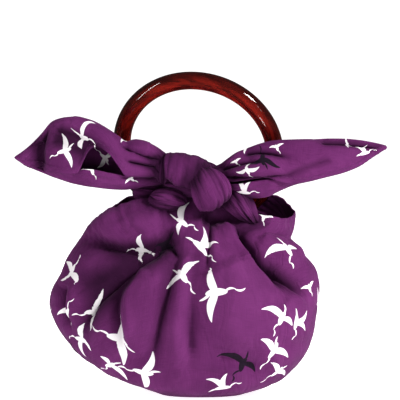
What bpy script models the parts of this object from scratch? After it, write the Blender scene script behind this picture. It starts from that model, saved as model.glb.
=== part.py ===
"""A furoshiki wrap: one square cloth tied into a pouch, hung from a round ring handle.

Two pieces. The cloth is one closed solid: a pouch with side mouths, a strap of gathered
cloth that passes over the bottom of the ring, a knot, and the two corners of the cloth
that stand out from the knot like ears. The ring is a plain round hoop caught under the
strap. X runs to the right of someone who faces the knot, the knot side is -Y, and the
origin is the middle of the flat spot that the pouch stands on.
"""
import math

import bmesh
import bpy
from mathutils import Matrix, Vector

# Driving dimensions. Tables and sizes below are in millimetres, scaled by MM.
MM = 0.001
CLOTH_THICKNESS = 2.0
RING_OUTER_DIAMETER = 130.0
RING_TUBE_DIAMETER = 13.2
RING_CENTRE = (-0.7, 0.0, 183.7)
RING_AXIS_SLOPE = math.radians(21.3)
RING_LEAN = math.radians(29.0)
RING_STEPS = 48
RING_TUBE_STEPS = 12

POUCH_COLUMNS = 68
POUCH_ROWS = 24
FRONT_CROWDING = 0.26
OVAL_POWER = 2.25
SEAT_MIDDLE = (0.0, 0.0)

EAR_ARC_POINTS = 15
LOBE_STEPS = 17
LOBE_RINGS = 8
BAND_POINTS = 28

# The pouch's level curves, from the flat spot up to the shoulder: how far each reaches to
# the left, right, front and back, and its height at those four places.
LEVELS = [
    # name, left, right, front, back, z_left, z_right, z_front, z_back
    ("seat edge", 30, 34, 26, 26, 0, 0, 0, 0),
    ("turn of the base", 66, 60, 43, 43, 16, 11, 8, 9),
    ("lower belly", 97, 81, 58, 56, 37, 34, 33, 33),
    ("belly", 110, 88, 63, 59, 66, 66, 64, 64),
    ("upper belly", 103, 88, 58, 56, 95, 92, 94, 92),
    ("shoulder", 90, 70, 46, 51, 117, 113, 119, 118),
]

# The two curves above the shoulder don't follow an oval. Azimuth 0 is the right side,
# 90 the back, 180 the left and 270 the front.
NECK = [
    # azimuth, x, y, z
    (270, -2, -34, 135), (288, 16, -35, 131), (306, 36, -33, 126), (326, 54, -24, 119),
    (344, 64, -12, 116), (2, 66, 6, 116), (20, 72, 24, 127), (40, 62, 38, 136),
    (60, 38, 44, 138), (90, 0, 46, 138), (120, -38, 46, 139), (140, -62, 42, 136),
    (160, -79, 26, 129), (180, -85, 2, 125), (202, -75, -20, 132), (224, -58, -30, 136),
    (246, -34, -35, 136),
]
RIM = [
    # azimuth, x, y, z
    (270, -2, -23, 149), (288, 13, -25, 146), (306, 31, -24, 139), (326, 49, -19, 128),
    (344, 60, -10, 122), (2, 67, 6, 123), (20, 72, 20, 137), (40, 59, 32, 147),
    (60, 33, 39, 150), (90, 0, 40, 149), (120, -33, 41, 151), (140, -56, 36, 145),
    (160, -72, 22, 135), (180, -78, 2, 131), (202, -67, -14, 139), (224, -50, -22, 146),
    (246, -27, -24, 150),
]

# Main folds of the pouch as seen from the front or the back: a curve from start past bend
# to end, how wide the trough or ridge is, and how far it stands out (minus is a trough).
FOLDS = [
    # name, side, x0, z0, x1, z1, x2, z2, width, height
    ("left roll", "front", -27, 131, -52, 130, -80, 124, 13, 6.5),
    ("trough under left roll", "front", -20, 123, -46, 112, -88, 121, 7, -9.5),
    ("left strip", "front", -40, 109, -68, 107, -99, 100, 7, 4.0),
    ("long left trough", "front", -28, 116, -72, 92, -90, 44, 7.5, -11.0),
    ("left flank roll", "front", -88, 92, -100, 74, -104, 56, 11, 3.5),
    ("panel edge", "front", -58, 92, -67, 70, -58, 44, 5.5, -4.5),
    ("left panel", "front", -42, 100, -54, 76, -46, 44, 11, 5.0),
    ("middle trough", "front", -14, 110, -27, 72, -33, 22, 7.5, -7.0),
    ("middle ridge", "front", -8, 112, -17, 72, -17, 24, 6.5, 4.0),
    ("seam trough", "front", -1, 120, -8, 70, -5, 24, 6, -5.0),
    ("right bulge", "front", 20, 106, 32, 74, 27, 36, 20, 7.0),
    ("pleat under knot", "front", 9, 138, 9, 117, 6, 94, 4.5, -4.5),
    ("facet under knot", "front", 18, 132, 27, 119, 40, 106, 6, 4.5),
    ("right trough", "front", 28, 129, 43, 103, 68, 80, 6.5, -9.0),
    ("right upper roll", "front", 44, 121, 62, 111, 80, 103, 8, 5.0),
    ("right side trough", "front", 46, 103, 66, 94, 80, 74, 5.5, -6.0),
    ("right flank", "front", 60, 74, 74, 62, 72, 40, 11, 4.0),
    ("bottom right trough", "front", 12, 34, 32, 30, 46, 24, 6, -3.5),
    ("left shoulder back", "back", -30, 132, -56, 116, -86, 96, 9, -5.5),
    ("left back roll", "back", -20, 118, -40, 96, -58, 66, 12, 4.5),
    ("back trough", "back", -9, 128, -18, 94, -22, 50, 8, -5.5),
    ("middle back roll", "back", 4, 122, 8, 86, 6, 44, 12, 4.0),
    ("right back trough", "back", 16, 128, 32, 100, 44, 60, 7, -5.5),
    ("right back roll", "back", 34, 120, 52, 100, 66, 78, 11, 4.0),
    ("right shoulder back", "back", 46, 132, 66, 114, 80, 92, 7, -4.5),
    ("low back trough", "back", -66, 60, -58, 44, -40, 26, 9, -4.0),
]

# Sections of each ear from the knot out to its tip: where it is, how high and deep it is,
# and between which two angles its cloth is open (0 is the front, 90 the top).
LEFT_EAR = [
    # x, y, z_low, z_high, half_depth, open_low, open_high
    (-22, -26, 158.5, 180, 7.5, -48, -36), (-29, -26, 157.5, 185, 8.7, -45, -32),
    (-37, -26, 157, 189.5, 9.7, -41, -27), (-46, -25, 155.5, 192, 10.5, -34, -20),
    (-54, -25, 155, 191, 11.0, -27, -8), (-62, -25, 155, 196, 11.5, -30, 8),
    (-70, -24, 155.5, 201.5, 12.0, -37, 26), (-80, -23, 156.5, 207, 12.0, -39, 41),
    (-90, -22, 158, 209, 11.0, -38, 4), (-100, -21, 160.5, 208.5, 9.5, -44, -26),
    (-110, -20, 163.5, 205, 8.0, -50, -36), (-118, -19, 166.5, 196, 6.5, -54, -42),
    (-126, -18, 169.5, 188, 5.2, -56, -44), (-133, -17, 173.5, 182, 4.0, -56, -44),
    (-137.5, -17, 176, 180, 3.2, -56, -44),
]
RIGHT_EAR = [
    # x, y, z_low, z_high, half_depth, open_low, open_high
    (14, -27, 154, 178, 7.5, -34, -20), (21, -29, 152, 181.5, 8.0, -32, -18),
    (29, -31.5, 150, 185, 8.5, -30, -16), (39, -34, 149, 188, 9.0, -26, -13),
    (50, -36, 150, 191, 9.5, -28, -16), (58, -36.5, 153.5, 192, 9.5, -40, -28),
    (68, -36, 157, 192.6, 9.5, -56, -44), (80, -35, 160, 193, 9.5, -66, -54),
    (94, -33, 163.5, 193.2, 8.5, -66, -54), (107, -31, 167, 193, 7.5, -66, -54),
    (118, -29, 171.5, 192, 6.2, -64, -52), (127, -27, 177.5, 190.5, 4.8, -60, -48),
    (134, -26, 182, 189, 3.8, -56, -44), (138.4, -25, 184.5, 187.8, 3.0, -56, -44),
]

# Lumps of the knot: middle, half sizes, the way its pleats run, and how many pleats.
LOBES = [
    # name, x, y, z, half_x, half_y, half_z, run_x, run_y, run_z, pleats, pleat_height
    ("knot_core", -3, -25, 159, 25, 14.5, 17.5, 1, 0, 0, 5, 0.05),
    ("knot_tuck", -26, -25, 170, 8, 12, 11, 0.1, 0, 1, 5, 0.08),
    ("puff_left", -23, -27, 147.5, 14, 11, 9.5, -0.9, 0, 0.35, 7, 0.10),
    ("puff_right", 33, -25, 140, 12, 10, 11, 0.7, 0, 1, 7, 0.10),
]

# Bands of gathered cloth. The strap runs from the back of the pouch over the ring's bottom
# to the knot. The over band wraps the knot from its top down, and the front band fans out
# from under it. Each has the way its width lies, its pleats, and rows along its length.
BANDS = {
    "strap": ((1.0, 0.0, 0.0), 8, 0.26, [
        # x, y, z, half_width, half_thick
        (0, 45.5, 119, 31, 2.4), (0, 46, 132, 33, 3.0), (0, 43.5, 142, 29, 4.0),
        (-1, 37, 150, 23, 4.8), (-1, 26, 155.5, 19, 5.4), (-2, 11, 158, 17, 6.0),
        (-2, -4, 159, 16, 6.5), (-2, -16, 160, 14, 6.5),
    ]),
    "knot_over": ((1.0, 0.0, -0.12), 10, 0.22, [
        # x, y, z, half_width, half_thick
        (-6, -12, 166, 14, 5.0), (-7, -17, 175, 16.5, 6.0), (-8, -26, 178, 17.5, 6.2),
        (-8.5, -35, 175, 18, 6.4), (-8, -39, 166.5, 17, 6.0), (-7, -33, 159, 14, 5.0),
    ]),
    "knot_front": ((0.82, 0.0, 0.57), 10, 0.22, [
        # x, y, z, half_width, half_thick
        (-3, -30, 167, 7, 5.0), (2, -40, 165, 10.5, 6.0), (8, -45, 157, 14.5, 6.6),
        (12.5, -44, 148, 16, 6.6), (14, -36, 141, 14, 6.2), (12, -25, 141, 10, 5.0),
    ]),
}


def clear_scene():
    """Remove every object that the file holds."""
    for item in list(bpy.data.objects):
        bpy.data.objects.remove(item, do_unlink=True)


def material(name, colour, roughness, metallic=0.0):
    """A Principled material with one colour."""
    made = bpy.data.materials.new(name)
    made.use_nodes = True
    shader = made.node_tree.nodes["Principled BSDF"]
    shader.inputs["Base Color"].default_value = (*colour, 1.0)
    shader.inputs["Roughness"].default_value = roughness
    shader.inputs["Metallic"].default_value = metallic
    return made


def add_object(name, points, faces, finish, smooth=True):
    """Make a mesh object from points in millimetres, with its faces turned outwards."""
    mesh = bpy.data.meshes.new(name)
    mesh.from_pydata([Vector(point) * MM for point in points], [], faces)
    mesh.update()
    made = bpy.data.objects.new(name, mesh)
    bpy.context.collection.objects.link(made)
    mesh.materials.append(finish)
    if smooth:
        mesh.shade_smooth()
    return made


def turn_outwards(made):
    """Recalculate a closed mesh's normals so that they all point out."""
    work = bmesh.new()
    work.from_mesh(made.data)
    bmesh.ops.recalc_face_normals(work, faces=work.faces)
    work.to_mesh(made.data)
    work.free()


def smooth_step(value):
    """0 below 0, 1 above 1, and a soft rise between."""
    value = min(max(value, 0.0), 1.0)
    return value * value * (3.0 - 2.0 * value)


def spline(before, start, end, after, share):
    """A point on the smooth curve from start to end, share of the way along."""
    tangent_start = (end - before) * 0.5
    tangent_end = (after - start) * 0.5
    square = share * share
    cube = square * share
    return (start * (2 * cube - 3 * square + 1) + tangent_start * (cube - 2 * square + share)
            + end * (3 * square - 2 * cube) + tangent_end * (cube - square))


def signed_power(value, power):
    """A power that keeps the sign."""
    return math.copysign(abs(value) ** power, value)


def level_point(level, azimuth):
    """The place on one of the pouch's oval level curves at an azimuth."""
    _, left, right, front, back, z_left, z_right, z_front, z_back = level
    across = signed_power(math.cos(azimuth), 2.0 / OVAL_POWER)
    along = signed_power(math.sin(azimuth), 2.0 / OVAL_POWER)
    reach_x = right if across > 0 else left
    reach_y = back if along > 0 else front
    side_share = math.cos(azimuth) ** 2
    z_side = z_right if across > 0 else z_left
    z_end = z_back if along > 0 else z_front
    height = z_side * side_share + z_end * (1.0 - side_share)
    return Vector((across * reach_x, along * reach_y, height))


def table_point(table, azimuth):
    """The place at an azimuth on a closed curve given by a table of azimuths."""
    degrees = math.degrees(azimuth) % 360.0
    rows = sorted(table)
    count = len(rows)
    index = max([-1] + [k for k, row in enumerate(rows) if row[0] <= degrees])
    start, end = rows[index % count], rows[(index + 1) % count]
    gap = (end[0] - start[0]) % 360.0
    share = ((degrees - start[0]) % 360.0) / gap
    points = [Vector(rows[(index + step) % count][1:]) for step in (-1, 0, 1, 2)]
    return spline(*points, share)


def meridian(azimuth):
    """The pouch's profile at one azimuth, from the edge of the seat up to the rim."""
    points = [level_point(level, azimuth) for level in LEVELS]
    points += [table_point(NECK, azimuth), table_point(RIM, azimuth)]
    return points


def profile_point(points, share):
    """The point a share of the way along a profile, by length."""
    lengths = [(b - a).length for a, b in zip(points, points[1:])]
    walked = share * sum(lengths)
    for index, length in enumerate(lengths):
        if walked <= length or index == len(lengths) - 1:
            break
        walked -= length
    before = points[max(index - 1, 0)]
    after = points[min(index + 2, len(points) - 1)]
    placed = spline(before, points[index], points[index + 1], after, min(walked / length, 1.0))
    placed.z = max(placed.z, 0.0)
    return placed


def distance_to_fold(x, z, fold):
    """Distance in the view plane to a fold's curve, and the share of its length there."""
    _, _, x0, z0, x1, z1, x2, z2, _, _ = fold
    nearest = (1e9, 0.0)
    steps = 10
    for step in range(steps + 1):
        share = step / steps
        rest = 1.0 - share
        curve_x = rest * rest * x0 + 2 * rest * share * x1 + share * share * x2
        curve_z = rest * rest * z0 + 2 * rest * share * z1 + share * share * z2
        nearest = min(nearest, (math.hypot(x - curve_x, z - curve_z), share))
    return nearest


def fold_height(point):
    """How far all the folds together move a point of the pouch out or in."""
    side = "front" if point.y < 0 else "back"
    total = 0.0
    for fold in FOLDS:
        if fold[1] != side:
            continue
        distance, share = distance_to_fold(point.x, point.z, fold)
        width, height = fold[8], fold[9]
        taper = smooth_step(share / 0.12) * smooth_step((1.0 - share) / 0.25)
        total += height * (0.25 + 0.75 * taper) * math.exp(-(distance / width) ** 2)
    side_fade = smooth_step(abs(point.y) / 16.0)
    seat_fade = smooth_step(point.z / 14.0)
    return total * side_fade * seat_fade


def pouch(finish):
    """The pouch: an open sheet of cloth from its seat to its rim, given its thickness."""
    columns, rows = POUCH_COLUMNS, POUCH_ROWS
    points = []
    for row in range(rows):
        for column in range(columns):
            turn = 2.0 * math.pi * column / columns
            azimuth = turn - FRONT_CROWDING * math.cos(turn)
            points.append(profile_point(meridian(azimuth), row / (rows - 1)))
    folded = []
    for row in range(rows):
        for column in range(columns):
            here = points[row * columns + column]
            ahead = points[row * columns + (column + 1) % columns]
            behind = points[row * columns + (column - 1) % columns]
            above = points[min(row + 1, rows - 1) * columns + column]
            below = points[max(row - 1, 0) * columns + column]
            normal = (ahead - behind).cross(above - below).normalized()
            rim_fade = smooth_step((rows - 1 - row) / 3.0)
            moved = here + normal * fold_height(here) * rim_fade
            folded.append(moved if here.z > 0.0 else here)
    middle = len(folded)
    folded.append(Vector((*SEAT_MIDDLE, 0.0)))
    faces = []
    for column in range(columns):
        after = (column + 1) % columns
        faces.append((middle, after, column))
        for row in range(rows - 1):
            low, high = row * columns, (row + 1) * columns
            faces.append((low + column, low + after, high + after, high + column))
    made = add_object("pouch", folded, faces, finish)
    wall = made.modifiers.new("cloth thickness", "SOLIDIFY")
    wall.thickness = CLOTH_THICKNESS * MM
    wall.offset = -1.0
    wall.use_even_offset = False
    return made


def loft(name, loops, finish):
    """Skin a row of closed loops that have the same number of points, and cap both ends."""
    count = len(loops[0])
    points = [point for loop in loops for point in loop]
    faces = []
    for start in range(0, (len(loops) - 1) * count, count):
        for index in range(count):
            after = (index + 1) % count
            faces.append((start + index, start + after, start + count + after,
                          start + count + index))
    first = list(range(count))
    last = [len(points) - count + index for index in range(count)]
    made = add_object(name, points, faces, finish)
    work = bmesh.new()
    work.from_mesh(made.data)
    work.verts.ensure_lookup_table()
    for cap in (first, last):
        half = count // 2
        for index in range(half - 1):
            corners = (cap[index], cap[index + 1], cap[count - 2 - index], cap[count - 1 - index])
            work.faces.new([work.verts[corner] for corner in corners])
    bmesh.ops.recalc_face_normals(work, faces=work.faces)
    work.to_mesh(made.data)
    work.free()
    return made


def ear(name, sections, finish):
    """One corner of the cloth: a sheet curled round on itself and open along the front."""
    loops = []
    for x, y, z_low, z_high, half_depth, open_low, open_high in sections:
        middle_z, half_height = (z_low + z_high) / 2.0, (z_high - z_low) / 2.0
        inner_depth = max(half_depth - CLOTH_THICKNESS, 0.35 * half_depth)
        inner_height = max(half_height - CLOTH_THICKNESS, 0.45 * half_height)
        start, end = math.radians(open_high), math.radians(open_low + 360.0)
        angles = [start + (end - start) * step / (EAR_ARC_POINTS - 1)
                  for step in range(EAR_ARC_POINTS)]
        outer = [(x, y - half_depth * math.cos(a), middle_z + half_height * math.sin(a))
                 for a in angles]
        inner = [(x, y - inner_depth * math.cos(a), middle_z + inner_height * math.sin(a))
                 for a in reversed(angles)]
        loops.append(outer + inner)
    return loft(name, loops, finish)


def band(name, finish):
    """A band of gathered cloth with pleats that run along it."""
    across, pleats, pleat_height, rows = BANDS[name]
    loops = []
    for index, (x, y, z, half_width, half_thick) in enumerate(rows):
        before = Vector(rows[max(index - 1, 0)][:3])
        after = Vector(rows[min(index + 1, len(rows) - 1)][:3])
        run = (after - before).normalized()
        thick_way = Vector(across).cross(run).normalized()
        wide_way = run.cross(thick_way)
        loop = []
        for step in range(BAND_POINTS):
            angle = 2.0 * math.pi * step / BAND_POINTS
            pleat = 1.0 + pleat_height * math.cos(pleats * angle)
            loop.append(Vector((x, y, z)) + wide_way * (half_width * math.cos(angle))
                        + thick_way * (half_thick * math.sin(angle) * pleat))
        loops.append(loop)
    return loft(name, loops, finish)


def lobe(row, finish):
    """One lump of the knot: a rounded solid with pleats that run from pole to pole."""
    name, x, y, z, half_x, half_y, half_z, run_x, run_y, run_z, pleats, pleat_height = row
    work = bmesh.new()
    bmesh.ops.create_uvsphere(work, u_segments=LOBE_STEPS, v_segments=LOBE_RINGS, radius=1.0)
    turn = Vector((run_x, run_y, run_z)).to_track_quat("Z", "Y")
    for vertex in work.verts:
        azimuth = math.atan2(vertex.co.y, vertex.co.x)
        level = 1.0 - vertex.co.z ** 2
        bulge = 1.0 + pleat_height * math.cos(pleats * azimuth) * level
        placed = turn @ (vertex.co * bulge)
        vertex.co = Vector((x + placed.x * half_x, y + placed.y * half_y, z + placed.z * half_z)) * MM
    mesh = bpy.data.meshes.new(name)
    work.to_mesh(mesh)
    work.free()
    made = bpy.data.objects.new(name, mesh)
    bpy.context.collection.objects.link(made)
    mesh.materials.append(finish)
    mesh.shade_smooth()
    turn_outwards(made)
    return made


def join_cloth(base, others):
    """Join the other solids onto the pouch, so that the cloth is one closed solid."""
    joined = bpy.data.collections.new("joined to the pouch")
    bpy.context.scene.collection.children.link(joined)
    for other in others:
        other.hide_render = True
        other.display_type = "WIRE"
        joined.objects.link(other)
    union = base.modifiers.new("join the knot, ears and strap", "BOOLEAN")
    union.operation = "UNION"
    union.solver = "EXACT"
    union.operand_type = "COLLECTION"
    union.collection = joined
    base.name = "cloth"
    base.data.name = "cloth"


def ring_handle(finish):
    """The round hoop, leaning so that its top comes forward."""
    tube = RING_TUBE_DIAMETER / 2.0
    bpy.ops.mesh.primitive_torus_add(
        major_radius=(RING_OUTER_DIAMETER / 2.0 - tube) * MM,
        minor_radius=tube * MM,
        major_segments=RING_STEPS,
        minor_segments=RING_TUBE_STEPS,
    )
    made = bpy.context.object
    made.name = "ring"
    made.data.name = "ring"
    made.data.materials.append(finish)
    made.data.shade_smooth()
    lean_axis = Vector((math.cos(RING_AXIS_SLOPE), 0.0, -math.sin(RING_AXIS_SLOPE)))
    stand_up = Matrix.Rotation(math.radians(90.0), 4, "X")
    lean = Matrix.Rotation(RING_LEAN, 4, lean_axis)
    made.matrix_world = Matrix.Translation(Vector(RING_CENTRE) * MM) @ lean @ stand_up
    return made


def main():
    """Build the wrap."""
    clear_scene()
    cotton = material("purple cotton", (0.115, 0.018, 0.105), 0.85)
    resin = material("amber resin", (0.16, 0.012, 0.006), 0.12)
    cloth = pouch(cotton)
    pieces = [ear("ear_left", LEFT_EAR, cotton), ear("ear_right", RIGHT_EAR, cotton)]
    pieces += [band(name, cotton) for name in BANDS]
    pieces += [lobe(row, cotton) for row in LOBES]
    join_cloth(cloth, pieces)
    ring_handle(resin)


main()
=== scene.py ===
# %% [markdown]
# # A furoshiki wrap with a ring handle
# One square of printed cotton is tied round a hoop of dark amber resin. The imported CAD
# model gives the size and the place of everything. This script dresses it: each sheet of
# cloth is made again with finer folds, and gets its print, weave and hem.

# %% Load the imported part
import math

import bmesh
import bpy
import numpy as np
from mathutils import Matrix, Vector, noise
from mathutils.bvhtree import BVHTree


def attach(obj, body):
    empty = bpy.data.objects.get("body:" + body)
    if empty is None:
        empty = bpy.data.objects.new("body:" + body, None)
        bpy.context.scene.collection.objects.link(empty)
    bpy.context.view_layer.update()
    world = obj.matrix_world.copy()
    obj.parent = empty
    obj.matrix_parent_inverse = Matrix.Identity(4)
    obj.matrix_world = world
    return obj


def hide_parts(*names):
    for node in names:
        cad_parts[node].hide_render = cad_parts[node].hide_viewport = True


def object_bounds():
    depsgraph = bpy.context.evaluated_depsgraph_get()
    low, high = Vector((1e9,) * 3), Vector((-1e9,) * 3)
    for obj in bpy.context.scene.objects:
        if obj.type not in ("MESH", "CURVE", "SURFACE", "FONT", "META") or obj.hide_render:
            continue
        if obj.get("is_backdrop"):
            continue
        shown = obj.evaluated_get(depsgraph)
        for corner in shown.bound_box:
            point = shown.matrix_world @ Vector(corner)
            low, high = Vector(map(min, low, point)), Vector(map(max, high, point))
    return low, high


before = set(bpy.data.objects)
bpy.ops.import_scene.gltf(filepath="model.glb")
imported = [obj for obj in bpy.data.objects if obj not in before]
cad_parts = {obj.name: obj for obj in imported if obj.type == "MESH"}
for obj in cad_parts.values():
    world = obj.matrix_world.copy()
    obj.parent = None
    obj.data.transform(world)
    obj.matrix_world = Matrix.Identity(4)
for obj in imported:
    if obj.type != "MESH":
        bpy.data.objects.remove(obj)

cad_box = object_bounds()
MM = 0.001
print("CAD box in mm:", [round((high - low) / MM, 1) for low, high in zip(*cad_box)])

# %% [markdown]
# ## The camera
# The bag was photographed straight from the front with a long lens, so the lens here is
# long too, and the camera looks down by a few degrees only. One pixel of the picture is
# 0.74 mm at the knot, so the width of the picture and the distance give the lens.

# %% Camera
PICTURE_PIXELS = 400
MM_PER_PIXEL = 0.74
SENSOR_WIDTH = 36.0
CAMERA_DISTANCE = 1.7
CAMERA_DROP = math.radians(3.0)
AIM = Vector((0.0007, -0.030, 0.1475))


def new_object(name, data):
    """Put new data into the scene, at the origin."""
    made = bpy.data.objects.new(name, data)
    bpy.context.collection.objects.link(made)
    return made


def add_camera():
    """A long lens that frames the bag as in the photograph."""
    lens = bpy.data.cameras.new("camera")
    lens.sensor_width = SENSOR_WIDTH
    lens.lens = SENSOR_WIDTH * CAMERA_DISTANCE / (PICTURE_PIXELS * MM_PER_PIXEL * MM)
    holder = new_object("camera", lens)
    way = Vector((0.0, -math.cos(CAMERA_DROP), math.sin(CAMERA_DROP)))
    holder.location = AIM + way * CAMERA_DISTANCE
    holder.rotation_euler = (-way).to_track_quat("-Z", "Y").to_euler()
    bpy.context.scene.camera = holder
    print("lens of", round(lens.lens), "mm")


add_camera()

# %% [markdown]
# ## Light and floor
# The main light is a soft box in front on the right, above the bag, so every fold has a
# bright and a dark side. A wide, weak ceiling fills the shadows. Polished resin shows
# mostly what it mirrors, so two narrow strips and a small card on the floor are there for
# the long highlights of the hoop. The backdrop is white, as in the photograph: the sky
# looks bright to the camera but gives little light, and the floor glows by itself.

# %% Soft boxes
WHITE = (1.0, 1.0, 1.0, 1.0)
CEILING_HEIGHT = 3.0
LIGHTS = [
    # name, x, y, z, width, height, watts
    ("key", 1.22, -0.86, 1.00, 0.34, 0.34, 28.0),
    ("left strip", -0.66, -0.42, 0.30, 0.035, 0.56, 1.5),
    ("right strip", 0.90, -0.85, 0.30, 0.025, 0.22, 0.20),
    ("ceiling", 0.0, 0.6, CEILING_HEIGHT, 9.00, 9.00, 72.0),
]
# The card's values come in the same order as those of the lights.
CARD = ("card", 0.026, -0.186, 0.002, 0.085, 0.020, 0.12)
CARD_TURN = math.radians(74.0)


def soft_box(name, x, y, z, width, height, watts):
    """An oblong lamp that isn't turned yet."""
    lamp = bpy.data.lights.new(name, "AREA")
    lamp.shape = "RECTANGLE"
    lamp.size = width
    lamp.size_y = height
    lamp.energy = watts
    holder = new_object(name, lamp)
    holder.location = (x, y, z)
    return holder


def add_light(light):
    """Point a soft box at the knot. The ceiling faces down and isn't mirrored."""
    holder = soft_box(*light)
    overhead = light[3] >= CEILING_HEIGHT
    aim = Vector((*light[1:3], 0.0)) if overhead else AIM
    holder.rotation_euler = (aim - holder.location).to_track_quat("-Z", "Y").to_euler()
    holder.visible_glossy = not overhead


def add_card():
    """A bright card on the floor, in front, that faces up and only shows in the hoop."""
    holder = soft_box(*CARD)
    holder.rotation_euler = (math.pi, 0.0, CARD_TURN)
    holder.visible_diffuse = False
    holder.visible_camera = False


for light in LIGHTS:
    add_light(light)
add_card()
print(len(LIGHTS), "soft boxes and a card")

# %% Sky and floor
SKY_LIGHT = 0.12
SKY_SEEN = 0.95
FLOOR_SIZE = 12.0
FLOOR_DROP = 0.4 * MM
FLOOR_GREY = (0.90, 0.90, 0.90)
FLOOR_ROUGHNESS = 0.9
FLOOR_GLOW = 0.76


def plain_finish(name, colour, roughness):
    """One even colour, for the floor and for thread."""
    made = bpy.data.materials.new(name)
    made.use_nodes = True
    shader = made.node_tree.nodes["Principled BSDF"]
    shader.inputs["Base Color"].default_value = (*colour, 1.0)
    shader.inputs["Roughness"].default_value = roughness
    return made


def add_sky():
    """A white sky that looks brighter to the camera than the light it gives."""
    sky = bpy.data.worlds.new("studio")
    sky.use_nodes = True
    tree = sky.node_tree
    backdrop = tree.nodes["Background"]
    backdrop.inputs["Color"].default_value = WHITE
    light_path = tree.nodes.new("ShaderNodeLightPath")
    seen = tree.nodes.new("ShaderNodeMapRange")
    seen.inputs["To Min"].default_value = SKY_LIGHT
    seen.inputs["To Max"].default_value = SKY_SEEN
    tree.links.new(light_path.outputs["Is Camera Ray"], seen.inputs["Value"])
    tree.links.new(seen.outputs["Result"], backdrop.inputs["Strength"])
    bpy.context.scene.world = sky


def add_floor():
    """A white floor that the hoop doesn't mirror."""
    bpy.ops.mesh.primitive_plane_add(size=FLOOR_SIZE, location=(0.0, 0.0, -FLOOR_DROP))
    floor = bpy.context.object
    floor.name = "floor"
    pale = plain_finish("pale floor", FLOOR_GREY, FLOOR_ROUGHNESS)
    shader = pale.node_tree.nodes["Principled BSDF"]
    shader.inputs["Emission Color"].default_value = WHITE
    shader.inputs["Emission Strength"].default_value = FLOOR_GLOW
    floor.data.materials.append(pale)
    floor.visible_glossy = False
    floor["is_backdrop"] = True
    print("floor is", FLOOR_SIZE, "m wide")


add_sky()
add_floor()
bpy.context.scene.view_settings.view_transform = "Standard"
bpy.context.scene.view_settings.look = "Medium High Contrast"

# %% [markdown]
# ## The flying cranes
# The cloth is printed with small cranes, a traditional motif. Each crane is a handful of
# brush strokes: a curved centre line that is fat near the body and thin at the tip. One
# formula says how deep a point lies inside such a stroke. It is plain arithmetic, so the
# same lines of code work on numbers, to choose which crane a face belongs to, and on
# shader sockets, to paint it as sharply as the picture needs.

# %% A socket that can be calculated with
class Signal:
    """One output in a node tree, used in sums as if it were a number."""

    def __init__(self, tree, socket=None):
        self.tree = tree
        self.socket = socket

    def node(self, kind, settings=(), values=(), output=0):
        """Add any node: its settings first, then the numbers or links of its inputs."""
        made = self.tree.nodes.new(kind)
        for name, value in dict(settings).items():
            setattr(made, name, value)
        feed(made, values)
        return Signal(self.tree, made.outputs[output])

    def beside(self, output):
        """Another output of the same node."""
        return Signal(self.tree, self.socket.node.outputs[output])

    def math(self, operation, *values):
        """One step of arithmetic on the values given, or else on this one."""
        values = dict(enumerate(values or [self]))
        return self.node("ShaderNodeMath", {"operation": operation}, values)

    def __add__(self, other):
        return self.math("ADD", self, other)

    def __sub__(self, other):
        return self.math("SUBTRACT", self, other)

    def __rsub__(self, other):
        return self.math("SUBTRACT", other, self)

    def __mul__(self, other):
        return self.math("MULTIPLY", self, other)

    def __pow__(self, other):
        return self.math("POWER", self, other)

    def __abs__(self):
        return self.math("ABSOLUTE", self)

    __radd__ = __add__
    __rmul__ = __mul__

    def blend(self, start, end):
        """A colour between two others, by this value."""
        values = {0: self, 6: start, 7: end}
        return self.node("ShaderNodeMix", {"data_type": "RGBA"}, values, 2)

    def mix(self, share, other):
        """This colour with a share of another."""
        return self.node("ShaderNodeMix", {"data_type": "RGBA"}, {0: share, 6: self, 7: other}, 2)

    def range(self, low, high, to_low=0.0, to_high=1.0):
        """This value stretched from one range to another, and kept inside it."""
        values = {0: self, 1: low, 2: high, 3: to_low, 4: to_high}
        return self.node("ShaderNodeMapRange", {"clamp": True}, values)


def feed(node, values):
    """Give a node's inputs their numbers or links."""
    for key, value in dict(values).items():
        if isinstance(value, Signal):
            value.tree.links.new(value.socket, node.inputs[key])
        else:
            node.inputs[key].default_value = value


def larger(one, other):
    """The larger of two values, for numbers, arrays and sockets."""
    if isinstance(one, Signal):
        return one.math("MAXIMUM", one, other)
    return np.maximum(one, other)


print("sums on sockets are ready")

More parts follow.
